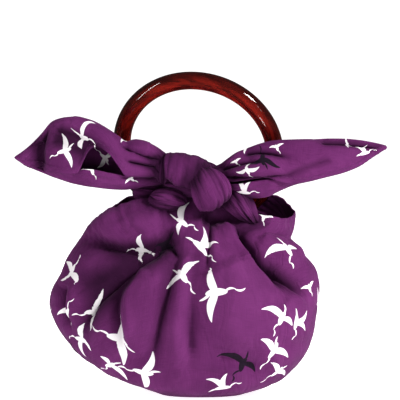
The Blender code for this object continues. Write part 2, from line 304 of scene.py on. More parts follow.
# %% The drawing of the cranes
CRANES = {
    # Each stroke: x, y of its start and end, bend to the side, half width, weight to the start
    "gliding": [(1, 0, -1, 18, 2.2, 2.5, 0.5), (1, 0, -2, -17.5, -2.2, 2.5, 0.5),
                (-6, -0.5, 8, 0.8, 0.4, 2.4, 0.0), (6, 0.5, 13, 2.4, 1.2, 0.8, 0.2),
                (12, 2.5, 19, 3.2, -1.4, 0.75, 0.0), (-3, -0.8, -10, -4, 0.5, 1.0, 0.3)],
    "climbing": [(0, 0, 3, 16.5, -2.6, 2.4, 0.5), (-1, 0, -6, -14, 2.4, 2.3, 0.45),
                 (-6, 1, 7, -0.5, 0.3, 2.3, 0.0), (-3, 1, -10, 8, 1.0, 1.5, 0.3),
                 (6, -0.5, 12, -1.5, -1.0, 0.8, 0.2), (11, -1.4, 15, 0.5, -0.9, 0.7, 0.0)],
    "soaring": [(1, 0, -9, 15, -3.0, 2.5, 0.5), (2, 0, 9, 14.5, 2.6, 2.2, 0.45),
                (-6, 0, 8, 0, 0.5, 2.3, 0.0), (7, 0, 14, 3, 1.1, 0.8, 0.2),
                (13, 3, 18, 1.5, -0.9, 0.7, 0.0), (-4, 0, -11, -1.5, -0.4, 1.0, 0.3)],
    "turning": [(0, 0, -3, 20, 3.6, 2.5, 0.5), (0, 0, 4, -9.5, -1.6, 2.1, 0.35),
                (-5, 0, 6, 1, 0.4, 2.3, 0.0), (5, 1, 10, 5, 1.1, 0.8, 0.2),
                (9.5, 4.6, 15, 3.5, -1.0, 0.7, 0.0), (-3, 0, -11, 1, 0.3, 0.8, 0.2)],
    "far": [(0, 0, -2, 10, 1.2, 1.7, 0.45), (0, 0, -3, -9, -1.2, 1.6, 0.45),
            (-4, 0, 5, 0, 0.3, 1.7, 0.0), (4, 0, 10, 1.5, 0.9, 0.65, 0.1)],
}
# On the sheet of stamps the kinds of crane lie side by side, and dark ones a row higher.
STAMP_GAP = 60.0
DARK_ROW = 120.0
NO_STAMP = -500.0


def stroke_depth(x, y, stroke):
    """How far a point lies inside a stroke. It is zero or less outside."""
    x0, y0, x1, y1, bend, half_width, weight = stroke
    length = math.hypot(x1 - x0, y1 - y0)
    along_x, along_y = (x1 - x0) / length, (y1 - y0) / length
    share = (x * along_x + y * along_y - (x0 * along_x + y0 * along_y)) * (1.0 / length)
    aside = y * along_x - x * along_y - (y0 * along_x - x0 * along_y)
    hump = share * (1.0 - share)
    width = larger(hump, 0.0) ** 0.5 * (2.0 * half_width * (1.0 + weight - 2.0 * weight * share))
    return width - abs(aside - hump * (4.0 * bend))


def crane_depth(x, y, strokes):
    """How far a point lies inside any of a crane's strokes."""
    deepest = stroke_depth(x, y, strokes[0])
    for stroke in strokes[1:]:
        deepest = larger(deepest, stroke_depth(x, y, stroke))
    return deepest


print(sum(len(strokes) for strokes in CRANES.values()), "strokes in", len(CRANES), "cranes")

# %% Where the cranes fly
SIDES = {
    # name: the way it faces (x, y), and the way its own x runs (x, y)
    "front": (0.0, -1.0, 1.0, 0.0), "back": (0.0, 1.0, 1.0, 0.0),
    "left": (-1.0, 0.0, 0.0, 1.0), "right": (1.0, 0.0, 0.0, 1.0),
}
FLOCK = {
    "pouch": [
        # x, z, side, heading, scale, mirrored, crane, colour
        (-13, 132, "front", -40, 0.95, 1, "turning", "white"),
        (0, 114, "front", -48, 1.10, 1, "soaring", "white"),
        (-14, 95, "front", -48, 1.02, 1, "gliding", "white"),
        (11, 81, "front", 2, 1.22, 1, "gliding", "white"),
        (66, 112, "front", -62, 1.05, -1, "turning", "white"),
        (82, 82, "front", -60, 0.80, 1, "far", "white"),
        (61, 62, "front", -105, 1.00, -1, "turning", "white"),
        (71, 60, "front", -98, 0.85, 1, "soaring", "white"),
        (55, 38, "front", -125, 0.98, 1, "gliding", "white"),
        (59, 21, "front", -142, 0.80, -1, "gliding", "white"),
        (17, 9, "front", 18, 0.92, 1, "soaring", "white"),
        (-95, 93, "front", 62, 1.00, 1, "climbing", "white"),
        (-98, 62, "front", 40, 0.90, 1, "soaring", "white"),
        (-78, 66, "front", 172, 0.95, 1, "gliding", "white"),
        (-87, 44, "front", 190, 0.98, 1, "climbing", "white"),
        (-57, 46, "front", 174, 1.25, -1, "gliding", "white"),
        (-66, 26, "front", 212, 0.92, 1, "turning", "white"),
        (-40, 21, "front", 168, 1.15, 1, "gliding", "white"),
        (-42, 111, "front", 200, 0.90, 1, "climbing", "white"),
        (48, 134, "front", 250, 0.80, 1, "far", "white"),
        (33, 29, "front", -100, 1.15, -1, "turning", "dark"),
        (-24, 117, "front", 205, 0.95, 1, "soaring", "dark"),
        (-20, 100, "back", 150, 0.95, 1, "gliding", "white"),
        (14, 84, "back", 120, 0.90, -1, "soaring", "white"),
        (-48, 78, "back", 190, 0.90, 1, "turning", "white"),
        (44, 62, "back", 60, 1.00, 1, "gliding", "white"),
        (66, 84, "back", 80, 0.85, -1, "turning", "white"),
        (-10, 52, "back", 205, 0.95, 1, "climbing", "white"),
        (-70, 46, "back", 150, 0.85, 1, "gliding", "white"),
        (22, 30, "back", 100, 0.80, 1, "soaring", "white"),
        (-36, 27, "back", 230, 0.85, -1, "gliding", "white"),
        (38, 110, "back", 40, 0.80, 1, "far", "dark"),
        (-66, 104, "back", 170, 0.85, 1, "climbing", "dark"),
        (-90, 74, "back", 210, 0.75, 1, "soaring", "white"),
        (70, 42, "back", 130, 0.80, -1, "climbing", "white"),
        (2, 124, "back", 95, 0.75, 1, "turning", "white"),
        (14, 96, "left", 60, 0.85, 1, "soaring", "white"),
        (2, 66, "left", 200, 0.90, 1, "gliding", "white"),
        (-10, 36, "left", 130, 0.80, -1, "turning", "dark"),
        (22, 40, "left", 80, 0.75, 1, "climbing", "white"),
        (12, 98, "right", 110, 0.80, 1, "turning", "white"),
        (-4, 70, "right", 40, 0.90, -1, "gliding", "white"),
        (16, 44, "right", 150, 0.80, 1, "soaring", "white"),
    ],
    "ear_left": [
        (-99, 184, "front", 195, 0.78, 1, "gliding", "white"),
        (-86, 193, "front", -20, 0.85, 1, "turning", "white"),
        (-79, 174, "front", -75, 0.85, 1, "far", "white"),
        (-50, 163, "front", -35, 0.60, 1, "far", "white"),
        (-56, 192, "front", -40, 0.60, 1, "far", "white"),
        (-70, 178, "back", 140, 0.62, 1, "gliding", "white"),
        (-90, 190, "back", 60, 0.80, -1, "soaring", "white"),
        (-104, 178, "back", 200, 0.70, 1, "turning", "white"),
        (-72, 164, "back", 100, 0.60, 1, "far", "dark"),
    ],
    "ear_right": [
        (57, 187, "front", -70, 0.60, 1, "far", "white"),
        (27, 176, "front", -60, 0.50, 1, "far", "white"),
        (35, 170, "front", -58, 0.60, 1, "climbing", "white"),
        (33, 153, "front", 8, 0.70, 1, "soaring", "white"),
        (110, 187, "front", -25, 0.55, 1, "far", "white"),
        (122, 182, "front", 15, 0.60, 1, "soaring", "white"),
        (47, 178, "front", 98, 0.80, 1, "gliding", "dark"),
        (40, 180, "back", 30, 0.80, 1, "gliding", "white"),
        (66, 172, "back", 80, 0.75, -1, "turning", "white"),
        (90, 180, "back", 200, 0.75, 1, "soaring", "white"),
        (110, 186, "back", 120, 0.60, 1, "climbing", "dark"),
    ],
}
print(sum(len(flock) for flock in FLOCK.values()), "cranes to place")

# %% [markdown]
# ## Curved sheets from tables
# Cloth that hangs in folds has no simple formula, but its main curves can be measured. A
# sheet starts as a grid of points through those curves. Folds then push the points along
# the sheet's own normal. The grid stays a numpy array until the end, because a whole fold
# is then one line of arithmetic.

# %% Splines and normals
LEAST_LENGTH = 1e-9


def smooth_step(value):
    """0 below 0, 1 above 1, and a soft rise between."""
    value = np.clip(value, 0.0, 1.0)
    return value * value * (3.0 - 2.0 * value)


def spline(before, start, end, after, share):
    """Points on the smooth curve from start to end."""
    tangent_start, tangent_end = (end - before) * 0.5, (after - start) * 0.5
    square, cube = share ** 2, share ** 3
    return (start * (2 * cube - 3 * square + 1) + tangent_start * (cube - 2 * square + share)
            + end * (3 * square - 2 * cube) + tangent_end * (cube - square))


def along_rows(rows, count):
    """Spread count points evenly in number along a table of rows, through every row."""
    rows = np.array(rows, float)
    place = np.linspace(0.0, len(rows) - 1.0, count)
    index = np.minimum(place.astype(int), len(rows) - 2)
    share = (place - index)[:, None]
    last = len(rows) - 1
    return spline(rows[np.maximum(index - 1, 0)], rows[index], rows[index + 1],
                  rows[np.minimum(index + 2, last)], share)


def unit(vectors):
    """The same directions with a length of one."""
    lengths = np.linalg.norm(vectors, axis=-1, keepdims=True)
    return vectors / np.maximum(lengths, LEAST_LENGTH)


def slopes(grid, closed):
    """The steps along the rows' way and up the columns at each point of a grid."""
    if closed:
        across = np.roll(grid, -1, axis=1) - np.roll(grid, 1, axis=1)
    else:
        across = np.gradient(grid, axis=1)
    return unit(across), unit(np.gradient(grid, axis=0))


def normals(grid, closed):
    """The outward direction at each point of a grid."""
    across, up = slopes(grid, closed)
    return unit(np.cross(across, up))


def wavy(u, v, seed):
    """Smooth noise from -1 to 1 over two coordinates."""
    flat = [noise.noise(Vector((a, b, seed))) for a, b in zip(u.ravel(), v.ravel())]
    return np.array(flat).reshape(u.shape)


print("grid helpers are ready")

# %% Folds drawn as curves
FOLD_STEPS = 28
FOLD_START_TAPER = 0.12
FOLD_END_TAPER = 0.25
FOLD_END_STRENGTH = 0.25
TROUGH_POWER = 1.5
RIDGE_POWER = 2.0
TROUGH_PINCH = 0.18
DEEPEST = 18.0
LONGEST_PULL = 4.0
FAR_AWAY = 1e9


def folded(grid, folds, fade, closed):
    """Move a grid's points by a table of folds: ridges out, and troughs in and together.

    A fold is a curve on the front or the back, bent towards its middle point. The second
    result is the height of the folds at each point, less than zero in a trough.
    """
    x, z = grid[..., 0], grid[..., 2]
    back = normals(grid, closed)[..., 1] > 0
    height_total = np.zeros(x.shape)
    pull = np.zeros(grid.shape)
    for _, side, x0, z0, x1, z1, x2, z2, width, height in folds:
        nearest = np.full(x.shape, FAR_AWAY)
        share_there, to_x, to_z = np.zeros(x.shape), np.zeros(x.shape), np.zeros(x.shape)
        for share in np.linspace(0.0, 1.0, FOLD_STEPS):
            rest = 1.0 - share
            over_x = rest * rest * x0 + 2 * rest * share * x1 + share * share * x2 - x
            over_z = rest * rest * z0 + 2 * rest * share * z1 + share * share * z2 - z
            gap = np.hypot(over_x, over_z)
            closer = gap < nearest
            share_there = np.where(closer, share, share_there)
            to_x, to_z = np.where(closer, over_x, to_x), np.where(closer, over_z, to_z)
            nearest = np.minimum(gap, nearest)
        taper = smooth_step(share_there / FOLD_START_TAPER)
        taper = taper * smooth_step((1.0 - share_there) / FOLD_END_TAPER)
        strength = FOLD_END_STRENGTH + (1.0 - FOLD_END_STRENGTH) * taper
        strength = (back == (side == "back")) * strength
        reach = nearest / width
        power = TROUGH_POWER if height < 0 else RIDGE_POWER
        height_total += strength * height * np.exp(-reach ** power)
        if height < 0:
            # The pull is strongest one fold's width away from the fold's line.
            pinch = strength * TROUGH_PINCH * -height * np.exp(0.5 - 0.5 * reach ** 2) / width
            pull[..., 0] += pinch * to_x
            pull[..., 2] += pinch * to_z
    outward = normals(grid, closed)
    pull -= outward * (pull * outward).sum(axis=-1, keepdims=True)
    pull *= LONGEST_PULL / np.maximum(np.linalg.norm(pull, axis=-1, keepdims=True), LONGEST_PULL)
    height_total = DEEPEST * np.tanh(height_total / DEEPEST) * fade
    return grid + outward * height_total[..., None] + pull * fade[..., None], height_total


print("folds have", FOLD_STEPS, "steps each")

# %% [markdown]
# ## From a grid to a sheet of cloth
# A grid becomes one mesh with two UV maps. The first holds true distances in millimetres
# along the cloth, which the weave follows. The second is a sheet of rubber stamps: every
# face takes its place on the stamp of its nearest crane, so a print bends with the cloth.
# Solidify gives the cotton its thickness, and its inner side gets the duller reverse.

# %% Distances on the cloth
def distances(grid, closed):
    """True lengths over the cloth: along each row, and up each column."""
    if closed:
        grid = np.concatenate([grid, grid[:, :1]], axis=1)
    across = np.linalg.norm(np.diff(grid, axis=1), axis=-1)
    up = np.linalg.norm(np.diff(grid, axis=0), axis=-1)
    u = np.concatenate([np.zeros((len(grid), 1)), np.cumsum(across, axis=1)], axis=1)
    v = np.concatenate([np.zeros((1, grid.shape[1])), np.cumsum(up, axis=0)], axis=0)
    return u - u[:, u.shape[1] // 2:u.shape[1] // 2 + 1], v


def corner_values(values):
    """The four corners' values of each face of a grid."""
    return np.stack([values[:-1, :-1], values[:-1, 1:], values[1:, 1:], values[1:, :-1]], axis=2)


print("distances are in mm")

# %% Stamping the cranes
STAMP_MARGIN = 4.0
STAMP_HALF = 0.45 * STAMP_GAP
LEAST_FACING = 0.05
HIDDEN_GAP = 1e3


def stamp_cranes(grid, closed, flock):
    """Give each face the place on the sheet of stamps of the crane that is nearest to it.

    The flock says where a crane is seen from its side, so its middle is the nearest point
    of the sheet that faces that way. From there the place of every other face is measured
    along the cloth.
    """
    u, v = distances(grid, closed)
    across, up = slopes(grid, closed)
    outward = unit(np.cross(across, up))
    shape = (u.shape[0] - 1, u.shape[1] - 1)
    best = np.full(shape, -STAMP_MARGIN)
    places = np.full((*shape, 4, 2), NO_STAMP)
    for x, z, side, heading, scale, mirrored, kind, colour in flock:
        out_x, out_y, way_x, way_y = SIDES[side]
        facing = outward[..., 0] * out_x + outward[..., 1] * out_y
        place = grid[..., 0] * way_x + grid[..., 1] * way_y
        gap = np.hypot(place - x, grid[..., 2] - z) + HIDDEN_GAP * (facing < LEAST_FACING)
        row, column = np.unravel_index(np.argmin(gap), gap.shape)
        normal = outward[row, column]
        angle = math.radians(heading)
        level = math.cos(angle)
        ahead = np.array([level * way_x, level * way_y, math.sin(angle)])
        ahead = unit(ahead - normal * ahead.dot(normal))
        aside = np.cross(normal, ahead)
        over_u, over_v = u - u[:, column:column + 1], v - v[row:row + 1, :]
        a, b = across[row, column], up[row, column]
        local_x = (over_u * a.dot(ahead) + over_v * b.dot(ahead)) / scale
        local_y = (over_u * a.dot(aside) + over_v * b.dot(aside)) / scale * mirrored
        corners_x, corners_y = corner_values(local_x), corner_values(local_y)
        depth = crane_depth(corners_x.mean(axis=2), corners_y.mean(axis=2), CRANES[kind])
        inside = np.abs(corners_x).max(axis=2) < STAMP_HALF
        chosen = inside & (np.abs(corners_y).max(axis=2) < STAMP_HALF) & (depth > best)
        best = np.where(chosen, depth, best)
        corners_x += STAMP_GAP * list(CRANES).index(kind)
        corners_y += DARK_ROW * (colour == "dark")
        places[chosen] = np.stack([corners_x, corners_y], axis=-1)[chosen]
    return places


print("stamps are", STAMP_GAP, "mm apart on their sheet")

# %% Faces and UV maps
def grid_faces(rows, columns, closed):
    """The corners of each face of a grid of points, row after row."""
    faces = []
    for row in range(rows - 1):
        for column in range(columns if closed else columns - 1):
            after = (column + 1) % columns
            low, high = row * columns, (row + 1) * columns
            faces.append((low + column, low + after, high + after, high + column))
    return faces


def add_map(mesh, name, corners, outside=0.0):
    """A UV map from the corners of a grid's faces. The cap faces after them get one value."""
    flat = np.full((len(mesh.loops), 2), outside)
    flat[:corners.size // 2] = corners.reshape(-1, 2)
    mesh.uv_layers.new(name=name).data.foreach_set("uv", flat.ravel())


def cloth_mesh(name, grid, depth, closed, faces):
    """A grid of points in millimetres as a mesh that knows its lengths and its folds."""
    mesh = bpy.data.meshes.new(name)
    mesh.from_pydata((grid.reshape(-1, 3) * MM).tolist(), [], faces)
    lengths = np.stack([corner_values(part) for part in distances(grid, closed)], axis=-1)
    add_map(mesh, "weave", lengths)
    # The fold number later paints shade into troughs and makes ridges paler in the cotton.
    mesh.attributes.new("fold", "FLOAT", "POINT").data.foreach_set("value", depth.ravel())
    return mesh


print("meshes of cloth carry a weave map and a fold number")

# %% Thickness
SHEET_THICKNESS = 0.9


def sheet_object(name, grid, depth, closed, cap_start=False):
    """A sheet of cloth from its outer side, with its stamps, its wall and its reverse."""
    rows, columns = grid.shape[:2]
    faces = grid_faces(rows, columns, closed)
    print(name, "has", len(faces), "faces on its outer side")
    if cap_start:
        faces.append(tuple(reversed(range(columns))))
    mesh = cloth_mesh(name, grid, depth, closed, faces)
    add_map(mesh, "stamps", stamp_cranes(grid, closed, FLOCK[name]), NO_STAMP)
    mesh.shade_smooth()
    made = new_object(name, mesh)
    wall = made.modifiers.new("thickness", "SOLIDIFY")
    wall.thickness = SHEET_THICKNESS * MM
    wall.offset = -1.0
    wall.use_even_offset = False
    wall.material_offset = 1
    return made


print("cotton is", SHEET_THICKNESS, "mm thick")

# %% [markdown]
# ## The pouch
# The pouch carries the weight, so it hangs in long soft rolls from the knot, wider and
# lower on the left, with deep troughs between them. Its level curves and its rim follow
# the CAD model's, moved a few millimetres towards the photograph's outline. The folds are
# drawn over the front and back as curves: a ridge is a round bump and a trough is a
# sharper groove, as in real cloth under its own weight.

# %% Level curves of the pouch
LEVELS = [
    # left, right, front, back, z_left, z_right, z_front, z_back
    (30, 34, 26, 26, 0, 0, 0, 0), (71, 64, 43, 43, 17, 12, 8, 9),
    (97.5, 82, 58, 56, 37, 34, 33, 33), (113, 89.5, 63, 59, 66, 66, 64, 64),
    (103, 88.5, 58, 56, 95, 93, 94, 92), (90, 70, 46, 51, 117, 113, 119, 118),
]
NECK = [
    # azimuth, x, y, z
    (270, -2, -34, 135), (288, 16, -35, 131), (306, 36, -33, 127), (326, 55, -25, 122),
    (344, 66, -13, 121), (2, 70, 5, 122), (20, 72, 24, 127), (40, 62, 38, 136),
    (60, 38, 44, 138), (90, 0, 46, 138), (120, -38, 46, 139), (140, -62, 42, 136),
    (160, -79, 26, 129), (180, -85, 2, 125), (202, -75, -20, 132), (224, -58, -30, 136),
    (246, -34, -35, 136),
]
RIM = [
    # azimuth, x, y, z
    (270, -2, -23, 149), (288, 13, -25, 146), (306, 31, -24, 140), (326, 49, -20, 135),
    (344, 61, -12, 133), (2, 69, 4, 133), (20, 72, 20, 137), (40, 59, 32, 147),
    (60, 33, 39, 150), (90, 0, 40, 149), (120, -33, 41, 151), (140, -56, 36, 145),
    (160, -72, 22, 135), (180, -78, 2, 131), (202, -67, -14, 139), (224, -50, -22, 146),
    (246, -27, -24, 150),
]
POUCH_COLUMNS = 344
POUCH_ROWS = 132
SEAT_ROWS = 8
FRONT_CROWDING = 0.26
OVAL_POWER = 2.25


def level_curve(level, azimuth):
    """One of the pouch's oval level curves."""
    left, right, front, back, z_left, z_right, z_front, z_back = level
    across = np.sign(np.cos(azimuth)) * np.abs(np.cos(azimuth)) ** (2.0 / OVAL_POWER)
    along = np.sign(np.sin(azimuth)) * np.abs(np.sin(azimuth)) ** (2.0 / OVAL_POWER)
    side_share = np.cos(azimuth) ** 2
    z_side = np.where(across > 0, z_right, z_left)
    z_end = np.where(along > 0, z_back, z_front)
    return np.stack([across * np.where(across > 0, right, left),
                     along * np.where(along > 0, back, front),
                     z_side * side_share + z_end * (1.0 - side_share)], axis=-1)


def table_curve(table, azimuth):
    """A closed curve given by a table of azimuths."""
    rows = np.array(sorted(table), float)
    degrees = np.degrees(azimuth) % 360.0
    count = len(rows)
    index = np.searchsorted(rows[:, 0], degrees, side="right") - 1
    start, end = rows[index % count], rows[(index + 1) % count]
    share = ((degrees - start[:, 0]) % 360.0) / ((end[:, 0] - start[:, 0]) % 360.0)
    around = [rows[(index + step) % count][:, 1:] for step in (-1, 0, 1, 2)]
    return spline(*around, share[:, None])


def profile(points, count):
    """Points evenly spaced along one profile of the pouch."""
    chords = np.linalg.norm(np.diff(points, axis=0), axis=1)
    ends = np.cumsum(chords)
    walked = np.linspace(0.0, ends[-1], count)
    index = np.minimum(np.searchsorted(ends, walked), len(chords) - 1)
    share = (walked - (ends[index] - chords[index])) / chords[index]
    last = len(points) - 1
    return spline(points[np.maximum(index - 1, 0)], points[index], points[index + 1],
                  points[np.minimum(index + 2, last)], np.clip(share, 0.0, 1.0)[:, None])


print("pouch is", max(left + right for left, right, *_ in LEVELS), "mm wide")

# %% Folds of the pouch
FOLDS = [
    # name, side, x0, z0, x1, z1, x2, z2, width, height
    ("left roll", "front", -27, 131, -52, 130, -80, 124, 13, 6.5),
    ("trough under left roll", "front", -20, 123, -46, 112, -88, 121, 8, -11.5),
    ("left valley", "front", -42, 108, -74, 99, -99, 76, 16, -9.0),
    ("left strip", "front", -40, 108, -68, 106, -99, 100, 6, 2.4),
    ("long left trough", "front", -26, 116, -72, 92, -90, 44, 8.5, -13.2),
    ("left flank roll", "front", -90, 90, -100, 74, -104, 56, 9, 3.0),
    ("panel edge", "front", -44, 99, -69, 76, -54, 34, 5.0, -8.5),
    ("left edge gap", "front", -101, 86, -107, 68, -98, 48, 3.0, -8.0),
    ("left panel", "front", -36, 98, -48, 74, -42, 44, 10, 4.2),
    ("middle trough", "front", -14, 110, -29, 72, -35, 22, 8.0, -6.5),
    ("middle ridge", "front", -8, 112, -17, 72, -17, 24, 6.5, 4.0),
    ("seam trough", "front", -1, 120, -8, 70, -5, 24, 6, -5.0),
    ("right bulge", "front", 20, 106, 34, 74, 30, 36, 20, 8.2),
    ("pleat under knot", "front", 9, 138, 9, 117, 6, 94, 3.6, -5.5),
    ("facet under knot", "front", 18, 132, 27, 119, 40, 106, 5, 5.5),
    ("right trough", "front", 28, 129, 43, 103, 68, 80, 7.0, -10.0),
    ("right upper roll", "front", 44, 121, 62, 111, 80, 103, 8, 5.0),
    ("right side trough", "front", 46, 103, 66, 94, 80, 74, 5.5, -6.0),
    ("right flank", "front", 60, 74, 74, 62, 72, 40, 11, 4.0),
    ("bottom right trough", "front", 12, 34, 32, 30, 46, 24, 6, -3.5),
    ("left shoulder back", "back", -30, 132, -56, 116, -86, 96, 9, -5.5),
    ("left back roll", "back", -20, 118, -40, 96, -58, 66, 12, 4.5),
    ("back trough", "back", -9, 128, -18, 94, -22, 50, 8, -5.5),
    ("middle back roll", "back", 4, 122, 8, 86, 6, 44, 12, 4.0),
    ("right back trough", "back", 16, 128, 32, 100, 44, 60, 7, -5.5),
    ("right back roll", "back", 34, 120, 52, 100, 66, 78, 11, 4.0),
    ("right shoulder back", "back", 46, 132, 66, 114, 80, 92, 7, -4.5),
    ("low back trough", "back", -66, 60, -58, 44, -40, 26, 9, -4.0),
]
print(len(FOLDS), "main folds")

# %% Creases of the pouch
FINE_FOLDS = [
    # name, side, x0, z0, x1, z1, x2, z2, width, height
    ("deep under roll", "front", -16, 121, -42, 112, -74, 117, 3.4, -6.5),
    ("deep long left", "front", -20, 116, -66, 95, -87, 54, 3.8, -7.5),
    ("deep middle", "front", -10, 114, -27, 76, -33, 34, 3.0, -2.6),
    ("deep right", "front", 26, 131, 42, 105, 62, 84, 3.2, -6.0),
    ("deep right side", "front", 44, 106, 62, 95, 78, 76, 3.0, -4.0),
    ("pit beside knot", "front", -22, 130, -19, 120, -15, 106, 4.5, -9.0),
    ("pit under knot", "front", 2, 138, 14, 134, 28, 137, 4.6, -17.0),
    ("left panel's rolled edge", "front", -38, 101, -61, 78, -47, 38, 3.6, 3.6),
    ("strip's rolled edge", "front", -30, 116, -58, 104, -84, 84, 4.0, 2.5),
    ("roll's upper crease", "front", -30, 140, -50, 139, -70, 131, 2.6, -1.6),
    ("roll's lower crease", "front", -26, 126, -50, 121, -74, 122, 2.4, 1.3),
    ("strip's crease", "front", -44, 104, -66, 100, -88, 88, 2.6, -1.5),
    ("panel's first crease", "front", -36, 103, -48, 86, -52, 62, 2.4, -1.0),
    ("panel's second crease", "front", -30, 100, -38, 78, -42, 50, 2.6, 1.1),
    ("middle crease", "front", -20, 96, -24, 70, -22, 44, 2.2, -1.0),
    ("bulge's left crease", "front", 2, 104, 6, 80, 4, 52, 2.6, -1.1),
    ("bulge's fan one", "front", 14, 122, 18, 104, 18, 84, 2.4, -1.2),
    ("bulge's fan two", "front", 22, 120, 30, 104, 38, 88, 2.2, -1.1),
    ("bulge's fan three", "front", 30, 112, 42, 96, 56, 82, 2.2, 1.2),
    ("right roll's crease", "front", 48, 114, 62, 104, 76, 94, 2.2, -1.3),
    ("right side crease", "front", 54, 96, 70, 84, 80, 66, 2.4, 1.2),
    ("low crease one", "front", -20, 30, 4, 22, 26, 20, 3.0, -1.0),
    ("low crease two", "front", -70, 40, -60, 26, -44, 16, 3.0, -1.0),
    ("back fan one", "back", -4, 130, -8, 104, -10, 74, 2.8, -1.3),
    ("back fan two", "back", 8, 132, 16, 106, 22, 74, 2.8, -1.3),
    ("back fan three", "back", -18, 128, -30, 108, -42, 84, 2.6, -1.2),
    ("back fan four", "back", 26, 126, 42, 108, 56, 88, 2.6, -1.2),
    ("back low crease", "back", 10, 42, 30, 34, 48, 30, 3.0, -1.0),
]
print(len(FINE_FOLDS), "creases")

# %% The pouch's cloth
SIDE_FADE = 16.0
BASE_FADE = 14.0
RIM_FADE_ROWS = 17.0
DETAIL_FADE = 10.0
# Waves are given by height, length along, length up and seed.
RIPPLES = [(0.9, 11.0, 46.0, 3.1), (0.8, 24.0, 19.0, 8.7)]
POUCH_GATHER = (1.6, 5.5, 60.0, 5.2)
GATHER_START = 100.0
GATHER_FADE = 34.0
HEM_RISE = 0.55
# The hem's width and the softness of its inner edge, in rows.
POUCH_HEM = (4.0, 1.6)
SEAT_HOLE = 0.03


def waves(u, v, height, length_along, length_up, seed):
    """Soft uneven waves on a sheet, of one height and their own two lengths."""
    return height * wavy(u / length_along, v / length_up, seed)


def hem_lift(inward, width, softness):
    """A doubled edge stands a little proud, with a soft step on its inner side."""
    return HEM_RISE * smooth_step((width - inward) / softness)


def pouch_grid():
    """The pouch's outer surface, from the middle of its base to its rim, and its folds."""
    turn = math.pi / 2.0 + np.linspace(0.0, 2.0 * math.pi, POUCH_COLUMNS, endpoint=False)
    turn = turn - FRONT_CROWDING * np.cos(turn)
    curves = [level_curve(level, turn) for level in LEVELS]
    curves += [table_curve(NECK, turn), table_curve(RIM, turn)]
    curves = np.stack(curves, axis=1)
    wall = np.stack([profile(curve, POUCH_ROWS) for curve in curves], axis=1)
    wall[..., 2] = np.maximum(wall[..., 2], 0.0)
    z = wall[..., 2]
    rim_steps = (POUCH_ROWS - 1.0 - np.arange(POUCH_ROWS))[:, None]
    side_fade = smooth_step(np.abs(wall[..., 1]) / SIDE_FADE)
    fade = side_fade * smooth_step(z / BASE_FADE) * smooth_step(rim_steps / RIM_FADE_ROWS)
    wall, depth = folded(wall, FOLDS + FINE_FOLDS, fade, True)
    u, v = distances(wall, True)
    u, v = u[:, :-1], v[:, :-1]
    ripple = sum(waves(u, v, *row) for row in RIPPLES)
    gather = waves(u, v, *POUCH_GATHER) * smooth_step((z - GATHER_START) / GATHER_FADE)
    detail = (ripple + gather) * smooth_step(z / DETAIL_FADE) + hem_lift(rim_steps, *POUCH_HEM)
    wall = wall + normals(wall, True) * detail[..., None]
    shares = np.linspace(SEAT_HOLE, 1.0, SEAT_ROWS, endpoint=False)
    seat = shares[:, None, None] * wall[:1] * np.array([1.0, 1.0, 0.0])
    return np.concatenate([seat, wall]), np.concatenate([0.0 * seat[..., 0], depth])


pouch_points, pouch_depth = pouch_grid()
pouch = sheet_object("pouch", pouch_points, pouch_depth, True, cap_start=True)

# %% [markdown]
# ## The ears
# Two free corners of the square stick out of the knot. Each is a sheet that curls round on
# itself, open along the front, widest half way out and drawn to a point. The left one
# stands open as a pocket with its top edge folded forward. A row of open sections, from
# the knot to the tip, gives that shape, and the same kind of folds as on the pouch follow.

# %% Sections of the ears
LEFT_EAR = [
    # x, y, z_low, z_high, half_depth, open_low, open_high
    (-14, -26, 159, 176, 6.5, -48, -36), (-22, -26, 158.5, 180, 7.5, -48, -36),
    (-29, -26, 157.5, 185, 8.7, -45, -32),
    (-37, -26, 157, 189.5, 9.7, -40, -30), (-46, -25, 155.5, 192, 10.5, -34, -27),
    (-54, -25, 155, 191, 11.0, -28, -23), (-60, -25, 155, 194.8, 11.3, -27, -4),
    (-66, -24.5, 155.2, 198.8, 11.8, -28, 12), (-72, -24, 155.7, 202.8, 12.0, -29, 17),
    (-78, -23, 156.5, 206, 12.0, -30, 13), (-84, -22.5, 157.2, 207.8, 11.7, -32, -5),
    (-89, -22, 157.9, 208.8, 11.2, -35, -35), (-95, -21.5, 159, 209, 10.5, -38, -45),
    (-102, -21, 161, 208.2, 9.2, -41, -48),
    (-110, -18, 163.5, 205, 8.0, -44, -50), (-118, -13, 166.5, 196, 6.0, -48, -52),
    (-126, -9, 169.7, 188, 4.4, -50, -53), (-133, -7, 173.7, 182.4, 3.0, -50, -53),
    (-137.5, -6, 176.6, 179.4, 1.9, -50, -53),
]
RIGHT_EAR = [
    # x, y, z_low, z_high, half_depth, open_low, open_high
    (4, -26, 157, 170, 6.0, -34, -24), (14, -27, 154, 174, 7.0, -34, -24),
    (21, -29, 152, 178.5, 8.0, -32, -22),
    (29, -31.5, 150, 184, 8.5, -30, -20), (39, -34, 149, 188, 9.0, -26, -17),
    (50, -36, 150, 191, 9.5, -27, -20), (58, -36.5, 153.5, 192, 9.5, -38, -36),
    (68, -36, 157, 192.6, 9.5, -52, -53), (80, -35, 160, 193, 9.5, -62, -64),
    (94, -33, 163.5, 193.2, 8.5, -62, -64), (107, -31, 167, 193, 7.5, -62, -64),
    (118, -29, 171.5, 192, 6.2, -60, -62), (127, -27, 177.5, 190.5, 4.8, -56, -58),
    (134, -26, 182, 189, 3.8, -52, -54), (138.4, -25, 184.5, 187.8, 3.0, -52, -54),
]
print("ears are", LEFT_EAR[0][0] - LEFT_EAR[-1][0], "and", RIGHT_EAR[-1][0] - RIGHT_EAR[0][0],
      "mm long")

